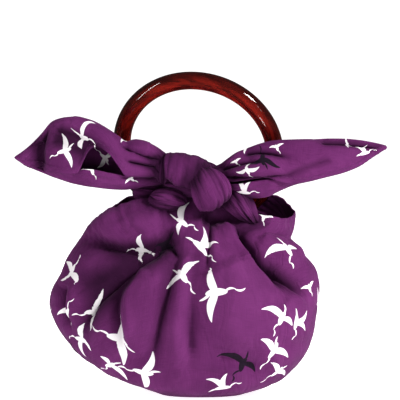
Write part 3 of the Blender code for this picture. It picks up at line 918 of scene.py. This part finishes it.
# %% Folds of the ears
EAR_FOLDS = {
    "ear_left": [
        # name, side, x0, z0, x1, z1, x2, z2, width, height
        ("upper groove", "front", -28, 178, -44, 180, -58, 189, 2.3, -5.0),
        ("middle groove", "front", -28, 171, -42, 173, -54, 177, 2.1, -5.0),
        ("lobe by the knot", "front", -36, 184, -46, 186, -52, 184, 5.0, 3.0),
        ("lower groove", "front", -28, 163, -46, 162, -60, 164, 2.4, -4.0),
        ("lower flap", "front", -50, 160, -70, 160, -96, 166, 4.0, 1.6),
        ("under the top fold", "front", -108, 201, -90, 198, -64, 181, 5.2, -4.0),
        ("top fold", "front", -96, 207, -80, 204, -58, 189, 3.2, 1.6),
        ("turned tip", "front", -118, 204, -123, 184, -118, 165, 4.4, -7.5),
        ("face crease", "front", -96, 178, -106, 182, -114, 186, 4.0, 1.6),
        ("face hollow", "front", -112, 192, -98, 190, -80, 178, 9.0, -4.0),
        ("back groove", "back", -34, 174, -60, 182, -96, 192, 5.0, -2.8),
        ("back low groove", "back", -34, 164, -60, 166, -96, 172, 4.0, -2.2),
        ("back upper groove", "back", -36, 184, -58, 190, -86, 202, 4.0, -2.2),
    ],
    "ear_right": [
        ("face crease", "front", 98, 178, 80, 173, 60, 163, 3.4, -2.2),
        ("dark groove", "front", 32, 182, 46, 186, 66, 179, 2.6, -4.8),
        ("upper groove", "front", 14, 170, 30, 175, 46, 177, 2.2, -4.2),
        ("lower groove", "front", 16, 164, 40, 164, 66, 166, 2.4, -4.6),
        ("roll over the gap", "front", 30, 169, 46, 170, 64, 172, 3.6, 1.8),
        ("lower flap", "front", 24, 156, 44, 155, 60, 160, 4.0, 1.6),
        ("turned tip", "front", 88, 192, 112, 191, 136, 186, 3.4, -5.0),
        ("back groove", "back", 24, 172, 60, 178, 100, 184, 5.0, -2.8),
        ("back low groove", "back", 24, 160, 56, 166, 96, 174, 4.0, -2.2),
        ("back upper groove", "back", 26, 180, 56, 186, 88, 190, 4.0, -2.0),
    ],
}
print(sum(len(folds) for folds in EAR_FOLDS.values()), "folds on the ears")

# %% The ears' cloth
EAR_ROWS = 120
EAR_COLUMNS = 130
EAR_TUCK = 2.0
EAR_TUCK_START = 0.80
EAR_TUCK_LENGTH = 0.16
EAR_TUCK_MOST = 0.45
EAR_TIP_ROWS = 8
EAR_TIP_LENGTH = 1.2
EAR_TIP_LEAST = 0.06
EAR_TIP_FADE = 8.0
EAR_ROUGHNESS = (0.35, 14.0, 24.0)
EAR_ROUGH_SEED = 2.3
EAR_GATHER = (1.0, 6.0, 70.0)
EAR_GATHER_SEED = 6.1
EAR_GATHER_HEIGHT = 3.0
EAR_GATHER_FLAT = 0.4
EAR_GATHER_SINK = 0.8
EAR_GATHER_REACH = 40.0
# The hem's width and the softness of its inner edge, in mm.
EAR_HEM = (5.0, 0.8)
# How strongly the ears' fold number paints shade into troughs and pales ridges.
EAR_SHADE_SCALE = 2.2


def ear_grid(sections, folds, outward):
    """One ear's outer surface and its folds. outward is 1 for the right ear, -1 for the left."""
    rows = along_rows(sections, EAR_ROWS)
    x, y, z_low, z_high, half_depth, open_low, open_high = [rows[:, k:k + 1] for k in range(7)]
    share = np.linspace(0.0, 1.0, EAR_COLUMNS)[None, :]
    start, end = np.radians(open_high), np.radians(open_low + 360.0)
    angle = start + (end - start) * share
    tuck = EAR_TUCK * smooth_step((share - EAR_TUCK_START) / EAR_TUCK_LENGTH)
    middle, half_height = (z_low + z_high) / 2.0, (z_high - z_low) / 2.0
    deep = half_depth - np.minimum(tuck, EAR_TUCK_MOST * half_depth)
    tall = half_height - np.minimum(tuck, EAR_TUCK_MOST * half_height)
    grid = np.stack([x + 0.0 * angle, y - deep * np.cos(angle), middle + tall * np.sin(angle)],
                    axis=-1)
    if outward > 0:
        grid = grid[:, ::-1]
    tip = grid[-1].mean(axis=0) + np.array([outward * EAR_TIP_LENGTH, 0.0, 0.0])
    closing = np.cos(np.linspace(0.0, math.pi / 2.0, EAR_TIP_ROWS + 1)[1:])
    closing = np.maximum(closing, EAR_TIP_LEAST)[:, None, None]
    cap = tip + (grid[-1:] - tip) * closing
    grid = np.concatenate([grid, cap], axis=0)
    tip_fade = smooth_step(np.abs(grid[..., 0] - tip[0]) / EAR_TIP_FADE)
    grid, depth = folded(grid, folds, tip_fade, False)
    u, v = distances(grid, False)
    from_knot = np.abs(grid[..., 0] - grid[0, 0, 0])
    rough = waves(u, v, *EAR_ROUGHNESS, EAR_ROUGH_SEED + outward)
    pleats = np.abs(waves(u, v, *EAR_GATHER, EAR_GATHER_SEED + outward))
    gather = EAR_GATHER_HEIGHT * np.minimum(pleats, EAR_GATHER_FLAT) - EAR_GATHER_SINK
    gather = gather * smooth_step((EAR_GATHER_REACH - from_knot) / GATHER_FADE)
    edge = np.minimum(u - u[:, :1], u[:, -1:] - u)
    lift = rough + gather + hem_lift(edge, *EAR_HEM)
    grid = grid + normals(grid, False) * (lift * tip_fade)[..., None]
    # The fold number: troughs and the gathers by the knot get painted shade, ridges turn paler.
    return grid, depth * EAR_SHADE_SCALE + gather


ear_grids = {"ear_left": ear_grid(LEFT_EAR, EAR_FOLDS["ear_left"], -1),
             "ear_right": ear_grid(RIGHT_EAR, EAR_FOLDS["ear_right"], 1)}
ears = [sheet_object(name, *ear_grids[name], False) for name in ear_grids]

# %% [markdown]
# ## The knot and the strap
# The middle of the knot is cloth wound on cloth: one smooth roll over the top, a round
# lump in front of it, and small puffs squeezed out at both sides. The strap behind holds
# the hoop. All are gathered cloth, so their pleats run along them, fine and uneven. Bands
# are tubes swept through rows close to the CAD model's, lumps are stretched balls, and
# noise cuts the pleats.

# %% Bands of gathered cloth
BANDS = {
    # name: way of its width, how deep its pleats are, rows of x, y, z, half_width, half_thick
    "strap": ((1.0, 0.0, 0.0), 2.2, [
        (0, 45.5, 119, 31, 2.4), (0, 46, 132, 33, 3.0), (0, 43.5, 142, 29, 4.0),
        (-1, 37, 150, 23, 4.8), (-1, 26, 155.5, 19, 5.4), (-2, 11, 158, 17, 6.0),
        (-2, -4, 159, 16, 6.5), (-2, -16, 160, 14, 6.5),
    ]),
    "knot_over": ((1.0, 0.0, -0.24), 1.5, [
        (-6, -12, 164, 14, 5.0), (-7, -17, 173, 16.5, 6.0), (-8, -26, 176, 17.5, 6.2),
        (-8.5, -35, 173.5, 18, 6.4), (-8, -39, 165.5, 17, 6.0), (-7, -33, 159, 14, 5.0),
    ]),
    "knot_front": ((0.86, 0.0, 0.48), 1.6, [
        (-2, -30, 164, 7, 5.5), (2, -39.5, 164.5, 10.5, 6.8), (6, -45, 159.5, 13.8, 7.8),
        (9.5, -44, 153, 14.8, 7.8), (10.5, -37, 147.5, 13.5, 7.0), (9, -27, 146, 10, 5.5),
    ]),
    "puff_right": ((0.80, 0.0, 0.60), 2.2, [
        (20, -26, 152, 8, 5.5), (27, -31, 148, 11, 6.5), (33, -31.5, 141, 9.5, 5.8),
        (38.5, -28, 134.5, 6, 4.5), (42, -23, 130, 2.8, 2.6),
    ]),
}
LOBES = [
    # name, x, y, z, half_x, half_y, half_z, run_x, run_y, run_z, pleat depth
    ("knot_core", -3, -23, 161.5, 25, 12.0, 15.0, 1, 0, 0, 2.8),
    ("knot_tuck", -26, -25, 170, 8, 12, 11, 0.1, 0, 1, 2.4),
    ("puff_left", -23, -27, 147.5, 14, 11, 9.0, -0.9, 0, 0.35, 2.6),
    ("tuck_left", -37, -10, 152.0, 13, 8, 8.5, -1.0, 0, 0.2, 2.4),
]
print(len(BANDS), "bands and", len(LOBES), "lumps")

# %% Pleats
PLEATS = [
    # how close they lie round a tube, share of the height, level of their flat tops, seed
    (1.5, 1.9, 0.35, 0.0), (5.0, 0.8, 0.40, 4.0),
]
PLEAT_SINK = 0.75
PLEAT_LENGTH = 38.0
# How strongly the pleats' grooves paint shade into the gathered cotton.
PLEAT_SHADE_SCALE = 2.6
STRENGTH = 0.9
STRENGTH_CHANGE_ALONG = 2.0
STRENGTH_CHANGE_ROUND = 1.3
STRENGTH_SEED = 8.0


def tube_object(name, grid, depth):
    """A closed lump of cloth from a grid whose rows are rings."""
    rows, columns = grid.shape[:2]
    faces = grid_faces(rows, columns, True)
    faces.append(tuple(reversed(range(columns))))
    faces.append(tuple(range((rows - 1) * columns, rows * columns)))
    mesh = cloth_mesh(name, grid, depth, True, faces)
    work = bmesh.new()
    work.from_mesh(mesh)
    bmesh.ops.recalc_face_normals(work, faces=work.faces)
    work.to_mesh(mesh)
    work.free()
    mesh.shade_smooth()
    print(name, "has", len(faces), "faces")
    return new_object(name, mesh)


def pleated(grid, depth, seed):
    """Cut uneven grooves between soft pleats that run along a tube."""
    _, v = distances(grid, True)
    lengthwise = v[:, :-1] / PLEAT_LENGTH
    turn = np.linspace(0.0, 2.0 * math.pi, grid.shape[1], endpoint=False)[None, :]
    ring_x, ring_y = np.cos(turn) + 0.0 * lengthwise, np.sin(turn) + 0.0 * lengthwise
    groove = 0.0
    for close, share, flat_from, own_seed in PLEATS:
        pleats = np.abs(wavy(ring_x * close + lengthwise, ring_y * close, seed + own_seed))
        groove = groove + share * np.minimum(pleats, flat_from)
    outward = normals(grid, True)
    if ((grid - grid.mean(axis=1, keepdims=True)) * outward).sum() < 0:
        outward = -outward
    patches = wavy(ring_x + STRENGTH_CHANGE_ALONG * lengthwise, ring_y * STRENGTH_CHANGE_ROUND,
                   seed + STRENGTH_SEED)
    groove = (STRENGTH + STRENGTH * patches) * (groove - PLEAT_SINK)
    # The second result is the fold number, so the grooves get painted shade.
    return grid + outward * (groove * depth)[..., None], PLEAT_SHADE_SCALE * groove * depth


print("pleats are about", PLEAT_LENGTH, "mm long")

# %% The knot's cloth
BAND_ROWS = 90
BAND_COLUMNS = 160
BAND_END_ROWS = 7.0
BAND_END_LEAST = 0.02
BAND_SEED_STEP = 1.7
LOBE_ROWS = 60
LOBE_COLUMNS = 110
LOBE_POLE = 0.02
LOBE_SEED = 11.0


def band_grid(across, depth, rows, seed):
    """Rings through the rows of a band, closed round at both ends."""
    line = along_rows(rows, BAND_ROWS)
    run = unit(np.gradient(line[:, :3], axis=0))
    thick_way = unit(np.cross(np.array(across), run))
    wide_way = np.cross(run, thick_way)
    angle = np.linspace(0.0, 2.0 * math.pi, BAND_COLUMNS, endpoint=False)
    row = np.arange(BAND_ROWS)
    end_gap = np.clip(np.minimum(row, row[::-1]) / BAND_END_ROWS, 0.0, 1.0)
    ends = np.sqrt(np.clip(1.0 - (1.0 - end_gap) ** 2, BAND_END_LEAST, 1.0))
    wide = (line[:, 3] * ends)[:, None, None] * np.cos(angle)[None, :, None]
    thick = (line[:, 4] * ends)[:, None, None] * np.sin(angle)[None, :, None]
    grid = line[:, None, :3] + wide_way[:, None] * wide + thick_way[:, None] * thick
    return pleated(grid, depth, seed)


def lobe_grid(row, seed):
    """Rings from pole to pole of a rounded lump."""
    _, x, y, z, half_x, half_y, half_z, run_x, run_y, run_z, depth = row
    fall = np.linspace(LOBE_POLE, math.pi - LOBE_POLE, LOBE_ROWS)[:, None]
    turn = np.linspace(0.0, 2.0 * math.pi, LOBE_COLUMNS, endpoint=False)[None, :]
    ball = np.stack([np.sin(fall) * np.cos(turn), np.sin(fall) * np.sin(turn),
                     np.cos(fall) + 0.0 * turn], axis=-1)
    spin = np.array(Vector((run_x, run_y, run_z)).to_track_quat("Z", "Y").to_matrix())
    grid = (ball @ spin.T) * np.array([half_x, half_y, half_z]) + np.array([x, y, z])
    return pleated(grid[::-1], depth, seed)


knots = [tube_object(name, *band_grid(*BANDS[name], BAND_SEED_STEP * index))
         for index, name in enumerate(BANDS)]
knots += [tube_object(row[0], *lobe_grid(row, LOBE_SEED + index))
          for index, row in enumerate(LOBES)]

# %% [markdown]
# ## Shade where cloth meets cloth
# Where two layers lie close together, little light gets between them, and the cloth there
# looks darker. That shade is painted here: the painted crease shade of the folds already
# works through one number a point, so that number is lowered wherever another piece of
# cloth is near, and the hollows round the knot get the same soft painted shade as the troughs of
# the pouch.

# %% Shade near the knot
SHADE_REACH = 13.0
SHADE_DROP = 9.0
SHADE_POWER = 1.5


def shade_meetings(pieces):
    """Lower the fold number of each point that has another piece close by, painting shade there.
    """
    trees = []
    for piece in pieces:
        corners = np.array([corner.co for corner in piece.data.vertices])
        faces = [tuple(face.vertices) for face in piece.data.polygons]
        trees.append((BVHTree.FromPolygons(corners.tolist(), faces), corners))
    for piece, (_, places) in zip(pieces, trees):
        near = np.full(len(places), SHADE_REACH * MM)
        for tree, corners in trees:
            if corners is places:
                continue
            low, high = corners.min(axis=0) - near.max(), corners.max(axis=0) + near.max()
            for index in np.flatnonzero(((places > low) & (places < high)).all(axis=1)):
                gap = tree.find_nearest(places[index], near[index])[3]
                near[index] = near[index] if gap is None else gap
        fold = piece.data.attributes["fold"].data
        depth = np.empty(len(places), np.float32)
        fold.foreach_get("value", depth)
        # Painted shade: the nearer another piece, the lower the fold number and the darker the
        # cloth.
        depth -= SHADE_DROP * (1.0 - near / (SHADE_REACH * MM)) ** SHADE_POWER
        fold.foreach_set("value", depth)
        print(piece.name, "has", int((near < SHADE_REACH * MM).sum()), "shaded points")


shade_meetings([pouch, *ears, *knots])

# %% [markdown]
# ## The hoop
# The handle is a plain round hoop of cast resin, dark amber and slightly clear. A torus is
# the real shape of such a hoop, so it is swept as one, finer than the CAD node. It stands
# up, then leans about an axis that slopes down to the right. Each point also keeps two
# values for its finish: one changes fast round the tube and slowly along the hoop, and
# one says how close the point is to the outer rim.

# %% The hoop
RING_OUTER_DIAMETER = 130.0
RING_TUBE_DIAMETER = 13.2
RING_CENTRE = (-0.7, 0.0, 183.7)
RING_AXIS_SLOPE = math.radians(21.3)
RING_LEAN = math.radians(29.0)
RING_STEPS = 180
TUBE_STEPS = 48


def hoop():
    """A torus in the place of the CAD ring, with its place in its mesh."""
    tube = RING_TUBE_DIAMETER / 2.0
    way = np.linspace(0.0, 2.0 * math.pi, RING_STEPS, endpoint=False)[:, None]
    turn = np.linspace(0.0, 2.0 * math.pi, TUBE_STEPS, endpoint=False)[None, :]
    reach = RING_OUTER_DIAMETER / 2.0 - tube + tube * np.cos(turn)
    grid = np.stack([reach * np.cos(way), reach * np.sin(way), tube * np.sin(turn) + 0.0 * way],
                    axis=-1)
    faces = []
    for row in range(RING_STEPS):
        for column in range(TUBE_STEPS):
            corners = ((row, column), (row + 1, column), (row + 1, column + 1), (row, column + 1))
            faces.append([(r % RING_STEPS) * TUBE_STEPS + c % TUBE_STEPS for r, c in corners])
    mesh = bpy.data.meshes.new("hoop")
    mesh.from_pydata((grid.reshape(-1, 3) * MM).tolist(), [], faces)
    grain = np.stack([np.cos(turn) + np.cos(way), np.sin(turn) + np.sin(way),
                      np.sin(2.0 * way) + 0.0 * turn], axis=-1)
    # rim is highest on the outer rim, where the resin paints shade.
    rim = np.cos(turn) + 0.0 * way
    mesh.attributes.new("grain", "FLOAT_VECTOR", "POINT").data.foreach_set("vector", grain.ravel())
    mesh.attributes.new("rim", "FLOAT", "POINT").data.foreach_set("value", rim.ravel())
    lean_axis = Vector((math.cos(RING_AXIS_SLOPE), 0.0, -math.sin(RING_AXIS_SLOPE)))
    stand_up = Matrix.Rotation(math.radians(90.0), 4, "X")
    lean = Matrix.Rotation(RING_LEAN, 4, lean_axis)
    mesh.transform(Matrix.Translation(Vector(RING_CENTRE) * MM) @ lean @ stand_up)
    mesh.shade_smooth()
    print("hoop has", len(faces), "faces")
    return new_object("hoop", mesh)


ring = hoop()

# %% [markdown]
# ## Cotton
# Plain-woven cotton has three looks at once: threads too fine to see singly, a few thick
# threads that show as faint lines both ways, and a soft sheen at the edges. The print is
# flat ink over it. All patterns follow the cloth through its UV maps. The fold number of
# each point paints shade into troughs and makes ridges a little paler.

# %% Colours and scales of the cotton
PURPLE = (0.120, 0.022, 0.106, 1.0)
PURPLE_PALE = (0.182, 0.041, 0.163, 1.0)
PURPLE_DEEP = (0.068, 0.009, 0.062, 1.0)
# The colour that painted shade tends to, in troughs and where layers meet.
PURPLE_SHADE = (0.016, 0.002, 0.015, 1.0)
WHITE_PRINT = (0.88, 0.85, 0.86, 1.0)
CHARCOAL_PRINT = (0.012, 0.009, 0.016, 1.0)
SHEEN_TINT = (0.85, 0.55, 0.82, 1.0)
THREADS_PER_MM = 1.6
SLUB_SCALE = (3.2, 0.09)
CLOUD_SCALE = (0.035, 0.035)
CRUMPLE_SCALE = (0.06, 0.025)
CRUMPLE_DISTORTION = 0.6
CRUMPLE_WIDTH = 0.12
# Heights of the weave, of thick threads and of the crumple, against each other.
WEAVE_HEIGHT = 0.5
SLUB_HEIGHT = 1.6
CRUMPLE_HEIGHT = 9.0
RELIEF = {"Strength": 0.35, "Distance": 0.12 * MM}
# How much of the uneven colour is thick threads, and how much of it plain purple hides.
SLUB_SHARE = 0.55
PLAIN_SHARE = 0.40
TONES = (0.32, 0.68)
DULLNESS = (0.78, 0.90)
# Fold depths in mm that get painted shade, heights that turn paler, and the most of each.
SHADED_DEPTHS = (-9.0, -0.8)
SHADED_MOST = 0.80
PALER_RIDGE_HEIGHTS = (1.5, 7.0)
PALER_RIDGE_MOST = 0.25
PRINT_EDGE = 0.22
INK_GAPS = (0.34, 0.66)
INK_GAPS_MOST = 0.10
INK_SHADE = 0.35


def streaks(weave, scale, distortion=0.0):
    """Flat noise over the cloth, stretched one way or the other."""
    place = weave.node("ShaderNodeMapping", (), {0: weave, 3: (*scale, 1.0)})
    values = {"Vector": place, "Scale": 1.0, "Detail": 3.0, "Distortion": distortion}
    return weave.node("ShaderNodeTexNoise", {"noise_dimensions": "2D"}, values)


def cloth_map(pen, name):
    """One of the cloth's UV maps, and its two coordinates."""
    both = pen.node("ShaderNodeUVMap", {"uv_map": name})
    x = both.node("ShaderNodeSeparateXYZ", (), {0: both})
    return both, x, x.beside(1)


print("cotton has", THREADS_PER_MM, "threads a millimetre")

# %% Printed and plain cotton
def print_over(cloth, pen, threads, shade):
    """The cloth's colour with the cranes printed over it, a little rubbed, with painted shade."""
    _, x, y = cloth_map(pen, "stamps")
    dark = y.math("GREATER_THAN", y, DARK_ROW / 2.0)
    y = y - dark * DARK_ROW
    moved = [(x0 + STAMP_GAP * index, y0, x1 + STAMP_GAP * index, *others)
             for index, strokes in enumerate(CRANES.values())
             for x0, y0, x1, *others in strokes]
    mask = crane_depth(x, y, moved).range(0.0, PRINT_EDGE)
    gaps = threads.range(*INK_GAPS, 0.0, INK_GAPS_MOST)
    ink = dark.blend(WHITE_PRINT, CHARCOAL_PRINT).mix(gaps, PURPLE)
    # A share of the painted shade of the troughs falls on the ink too.
    return mask.blend(cloth, ink.mix(shade * INK_SHADE, PURPLE_SHADE))


def cotton(name, printed, fade):
    """Purple cotton. fade is how much duller this side of the cloth is, from 0 to 1."""
    made = bpy.data.materials.new(name)
    made.use_nodes = True
    tree = made.node_tree
    pen = Signal(tree)
    weave, u, v = cloth_map(pen, "weave")
    warp = (u * (2.0 * math.pi * THREADS_PER_MM)).math("SINE")
    weft = (v * (2.0 * math.pi * THREADS_PER_MM)).math("SINE")
    threads = streaks(weave, SLUB_SCALE) * 0.5 + streaks(weave, SLUB_SCALE[::-1]) * 0.5
    cloud = streaks(weave, CLOUD_SCALE)
    tone = (threads * SLUB_SHARE + cloud * (1.0 - SLUB_SHARE)).range(*TONES)
    fold = pen.node("ShaderNodeAttribute", {"attribute_name": "fold"}, output=2)
    # Painted shade: deep troughs and close layers darken towards PURPLE_SHADE.
    shade = fold.range(*SHADED_DEPTHS, SHADED_MOST, 0.0)
    paler_on_ridges = fold.range(*PALER_RIDGE_HEIGHTS, 0.0, PALER_RIDGE_MOST)
    cloth = tone.blend(PURPLE_DEEP, PURPLE_PALE).mix(PLAIN_SHARE, PURPLE)
    # Raised folds turn a little paler, and troughs get their painted shade.
    cloth = cloth.mix(paler_on_ridges, PURPLE_PALE).mix(shade, PURPLE_SHADE)
    if printed:
        cloth = print_over(cloth, pen, threads, shade)
    if fade:
        cloth = cloth.mix(fade, PURPLE_DEEP)
    crumple = streaks(weave, CRUMPLE_SCALE, CRUMPLE_DISTORTION)
    crumple = abs(crumple - 0.5).range(0.0, CRUMPLE_WIDTH)
    height = warp * weft * WEAVE_HEIGHT + threads * SLUB_HEIGHT + crumple * CRUMPLE_HEIGHT
    feed(tree.nodes["Principled BSDF"], {
        "Base Color": cloth,
        "Roughness": tone.range(0.0, 1.0, *DULLNESS),
        "Normal": pen.node("ShaderNodeBump", (), {**RELIEF, "Height": height}),
        "Sheen Weight": 0.06,
        "Sheen Roughness": 0.45,
        "Sheen Tint": SHEEN_TINT,
        "Specular IOR Level": 0.12,
    })
    print(name, "has", len(tree.nodes), "nodes")
    return made


printed_cotton = cotton("printed cotton", True, 0.0)
cotton_reverse = cotton("cotton reverse", True, 0.20)
gathered_cotton = cotton("gathered cotton", False, 0.0)

# %% [markdown]
# ## Resin
# Cast resin is polished and slightly clear, with brighter and darker streaks that run the
# length of the hoop. Noise on the grain value of each point draws them. The photograph
# shows the outer rim much darker than the face, so the rim value paints shade onto it.

# %% Amber resin
AMBER = (0.240, 0.016, 0.010, 1.0)
AMBER_DARK = (0.085, 0.007, 0.005, 1.0)
AMBER_PAINTED_SHADE = (0.018, 0.002, 0.002, 1.0)
STREAKS = {"Scale": 1.7, "Detail": 3.0, "Distortion": 0.4}
STREAK_TONES = (0.42, 0.60)
RIM_SHADE_STARTS = (0.25, 0.95)
RIM_SHADE_MOST = 0.85
SCUFF_SCALE = 420.0
SCUFF_TONES = (0.45, 0.75)
POLISH = (0.03, 0.07)


def resin():
    """Dark amber resin, slightly clear, with streaks and painted shade on its outer rim."""
    made = bpy.data.materials.new("amber resin")
    made.use_nodes = True
    tree = made.node_tree
    pen = Signal(tree)
    place = pen.node("ShaderNodeTexCoord", output=3)
    grain = pen.node("ShaderNodeAttribute", {"attribute_name": "grain"}, output=1)
    rim = pen.node("ShaderNodeAttribute", {"attribute_name": "rim"}, output=2)
    cloudy = pen.node("ShaderNodeTexNoise", (), {**STREAKS, "Vector": grain})
    scuffs = pen.node("ShaderNodeTexNoise", (), {"Vector": place, "Scale": SCUFF_SCALE})
    colour = cloudy.range(*STREAK_TONES).blend(AMBER_DARK, AMBER)
    feed(tree.nodes["Principled BSDF"], {
        # Painted shade darkens the outer rim of the tube.
        "Base Color": colour.mix(rim.range(*RIM_SHADE_STARTS, 0.0, RIM_SHADE_MOST), AMBER_PAINTED_SHADE),
        "Roughness": scuffs.range(*SCUFF_TONES, *POLISH),
        "Transmission Weight": 0.25,
        "IOR": 1.49,
        "Specular IOR Level": 0.5,
    })
    print("amber resin has", len(tree.nodes), "nodes")
    return made


for sheet in [pouch, *ears]:
    sheet.data.materials.append(printed_cotton)
    sheet.data.materials.append(cotton_reverse)
for lump in knots:
    lump.data.materials.append(gathered_cotton)
ring.data.materials.append(resin())

# %% [markdown]
# ## Hem stitches
# The cloth's edge is folded under and sewn down. Such stitches repeat along a line, which
# is what Geometry Nodes are for: the tree walks a path, sets one small thread at each
# step and turns it along the path. Its result is then kept as a plain mesh.

# %% A tree that sews
STITCH_PITCH = 3.4
STITCH_LENGTH = 2.3
THREAD_WIDTH = 0.34
STITCH_SIZES = (0.9, 1.1)
STITCH_SEED = 4
# Each stitch is a ball one unit across, stretched to the thread's width and length.
STITCH_BALL = {"Segments": 6, "Rings": 5, "Radius": 0.5}


def stitch_tree(thread):
    """Geometry Nodes that sew along the edges of a path."""
    tree = bpy.data.node_groups.new("hem stitches", "GeometryNodeTree")
    sockets = tree.interface
    sockets.new_socket("Path", in_out="INPUT", socket_type="NodeSocketGeometry")
    for name in ("Pitch", "Stitch Length", "Thread Width"):
        sockets.new_socket(name, in_out="INPUT", socket_type="NodeSocketFloat")
    sockets.new_socket("Seed", in_out="INPUT", socket_type="NodeSocketInt")
    sockets.new_socket("Stitches", in_out="OUTPUT", socket_type="NodeSocketGeometry")
    pen = Signal(tree)
    given = tree.nodes.new("NodeGroupInput")
    path, pitch, length, width, seed = [Signal(tree, given.outputs[k]) for k in range(5)]
    curve = pen.node("GeometryNodeMeshToCurve", (), {0: path})
    line = pen.node("GeometryNodeResampleCurve", {"mode": "LENGTH"},
                    {"Curve": curve, "Length": pitch})
    tangent = pen.node("GeometryNodeInputTangent")
    turn = pen.node("FunctionNodeAlignRotationToVector", {"axis": "Z"}, {"Vector": tangent})
    stitch = pen.node("GeometryNodeMeshUVSphere", (), STITCH_BALL)
    size = pen.node("ShaderNodeCombineXYZ", (), {0: width, 1: width, 2: length})
    least, most = STITCH_SIZES
    wobble = pen.node("FunctionNodeRandomValue", {"data_type": "FLOAT"},
                      {2: least, 3: most, "Seed": seed}, 1)
    size = pen.node("ShaderNodeVectorMath", {"operation": "SCALE"}, {0: size, "Scale": wobble})
    placed = pen.node("GeometryNodeInstanceOnPoints", (), {
        "Points": line, "Instance": stitch, "Rotation": turn, "Scale": size})
    solid = pen.node("GeometryNodeRealizeInstances", (), {0: placed})
    finish = pen.node("GeometryNodeSetMaterial", (), {"Geometry": solid, "Material": thread})
    end = tree.nodes.new("NodeGroupOutput")
    feed(end, {0: finish})
    return tree


def sew(name, paths, thread):
    """Sew along paths of points in millimetres, and keep the stitches as a plain mesh."""
    points = np.concatenate(paths)
    edges = []
    for path in paths:
        first = edges[-1][1] + 1 if edges else 0
        edges += [(first + k, first + k + 1) for k in range(len(path) - 1)]
    mesh = bpy.data.meshes.new(name)
    mesh.from_pydata((points * MM).tolist(), edges, [])
    holder = new_object(name, mesh)
    tree = stitch_tree(thread)
    sewing = holder.modifiers.new("sewing", "NODES")
    sewing.node_group = tree
    sizes = {"Pitch": STITCH_PITCH * MM, "Stitch Length": STITCH_LENGTH * MM,
             "Thread Width": THREAD_WIDTH * MM, "Seed": STITCH_SEED}
    for item in tree.interface.items_tree:
        if item.name in sizes:
            sewing[item.identifier] = sizes[item.name]
    ready = holder.evaluated_get(bpy.context.evaluated_depsgraph_get())
    plain = bpy.data.meshes.new_from_object(ready)
    holder.modifiers.remove(sewing)
    holder.data = plain
    plain.shade_smooth()
    print(name, "has", len(plain.polygons), "faces")
    return holder


print("stitches are", STITCH_LENGTH, "mm long")

# %% Sewing the hem
HEM_WIDTH = 4.0
HEM_START_ROW = 36
HEM_END_ROWS = 6
EDGE_COLUMNS = 40
RIM_HEM_ROW = -5
THREAD_PURPLE = (0.10, 0.014, 0.09)
THREAD_ROUGHNESS = 0.7


def inside_edge(grid, columns):
    """The line on a sheet that runs a hem's width in from one of its edges."""
    strip = grid[:, columns]
    lengths = np.cumsum(np.linalg.norm(np.diff(strip, axis=1), axis=-1), axis=1)
    place = np.argmin(np.abs(lengths - HEM_WIDTH), axis=1) + 1
    return strip[np.arange(len(grid)), place]


thread = plain_finish("purple thread", THREAD_PURPLE, THREAD_ROUGHNESS)
paths = []
for grid, _ in ear_grids.values():
    kept = grid[HEM_START_ROW:EAR_ROWS - HEM_END_ROWS]
    paths.append(inside_edge(kept, slice(0, EDGE_COLUMNS)))
    paths.append(inside_edge(kept, slice(-1, -1 - EDGE_COLUMNS, -1)))
paths.append(pouch_points[RIM_HEM_ROW, np.arange(POUCH_COLUMNS + 1) % POUCH_COLUMNS])
stitches = sew("hem_stitches", paths, thread)

# %% [markdown]
# ## Pieces on the root body
# Each piece hangs from the root body, and the CAD nodes it stands for are hidden. The
# boxes of the CAD model and of the scene are measured, and the scene's box is printed.

# %% Pieces and size
for piece in [pouch, *ears, *knots, stitches]:
    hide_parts("cloth")
    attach(piece, "root")
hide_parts("ring")
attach(ring, "root")
sizes = {"cad": [list(corner) for corner in cad_box],
         "scene": [list(corner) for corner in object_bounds()]}
print("scene box in mm:", [round((b - a) / MM, 1) for a, b in zip(*sizes["scene"])])
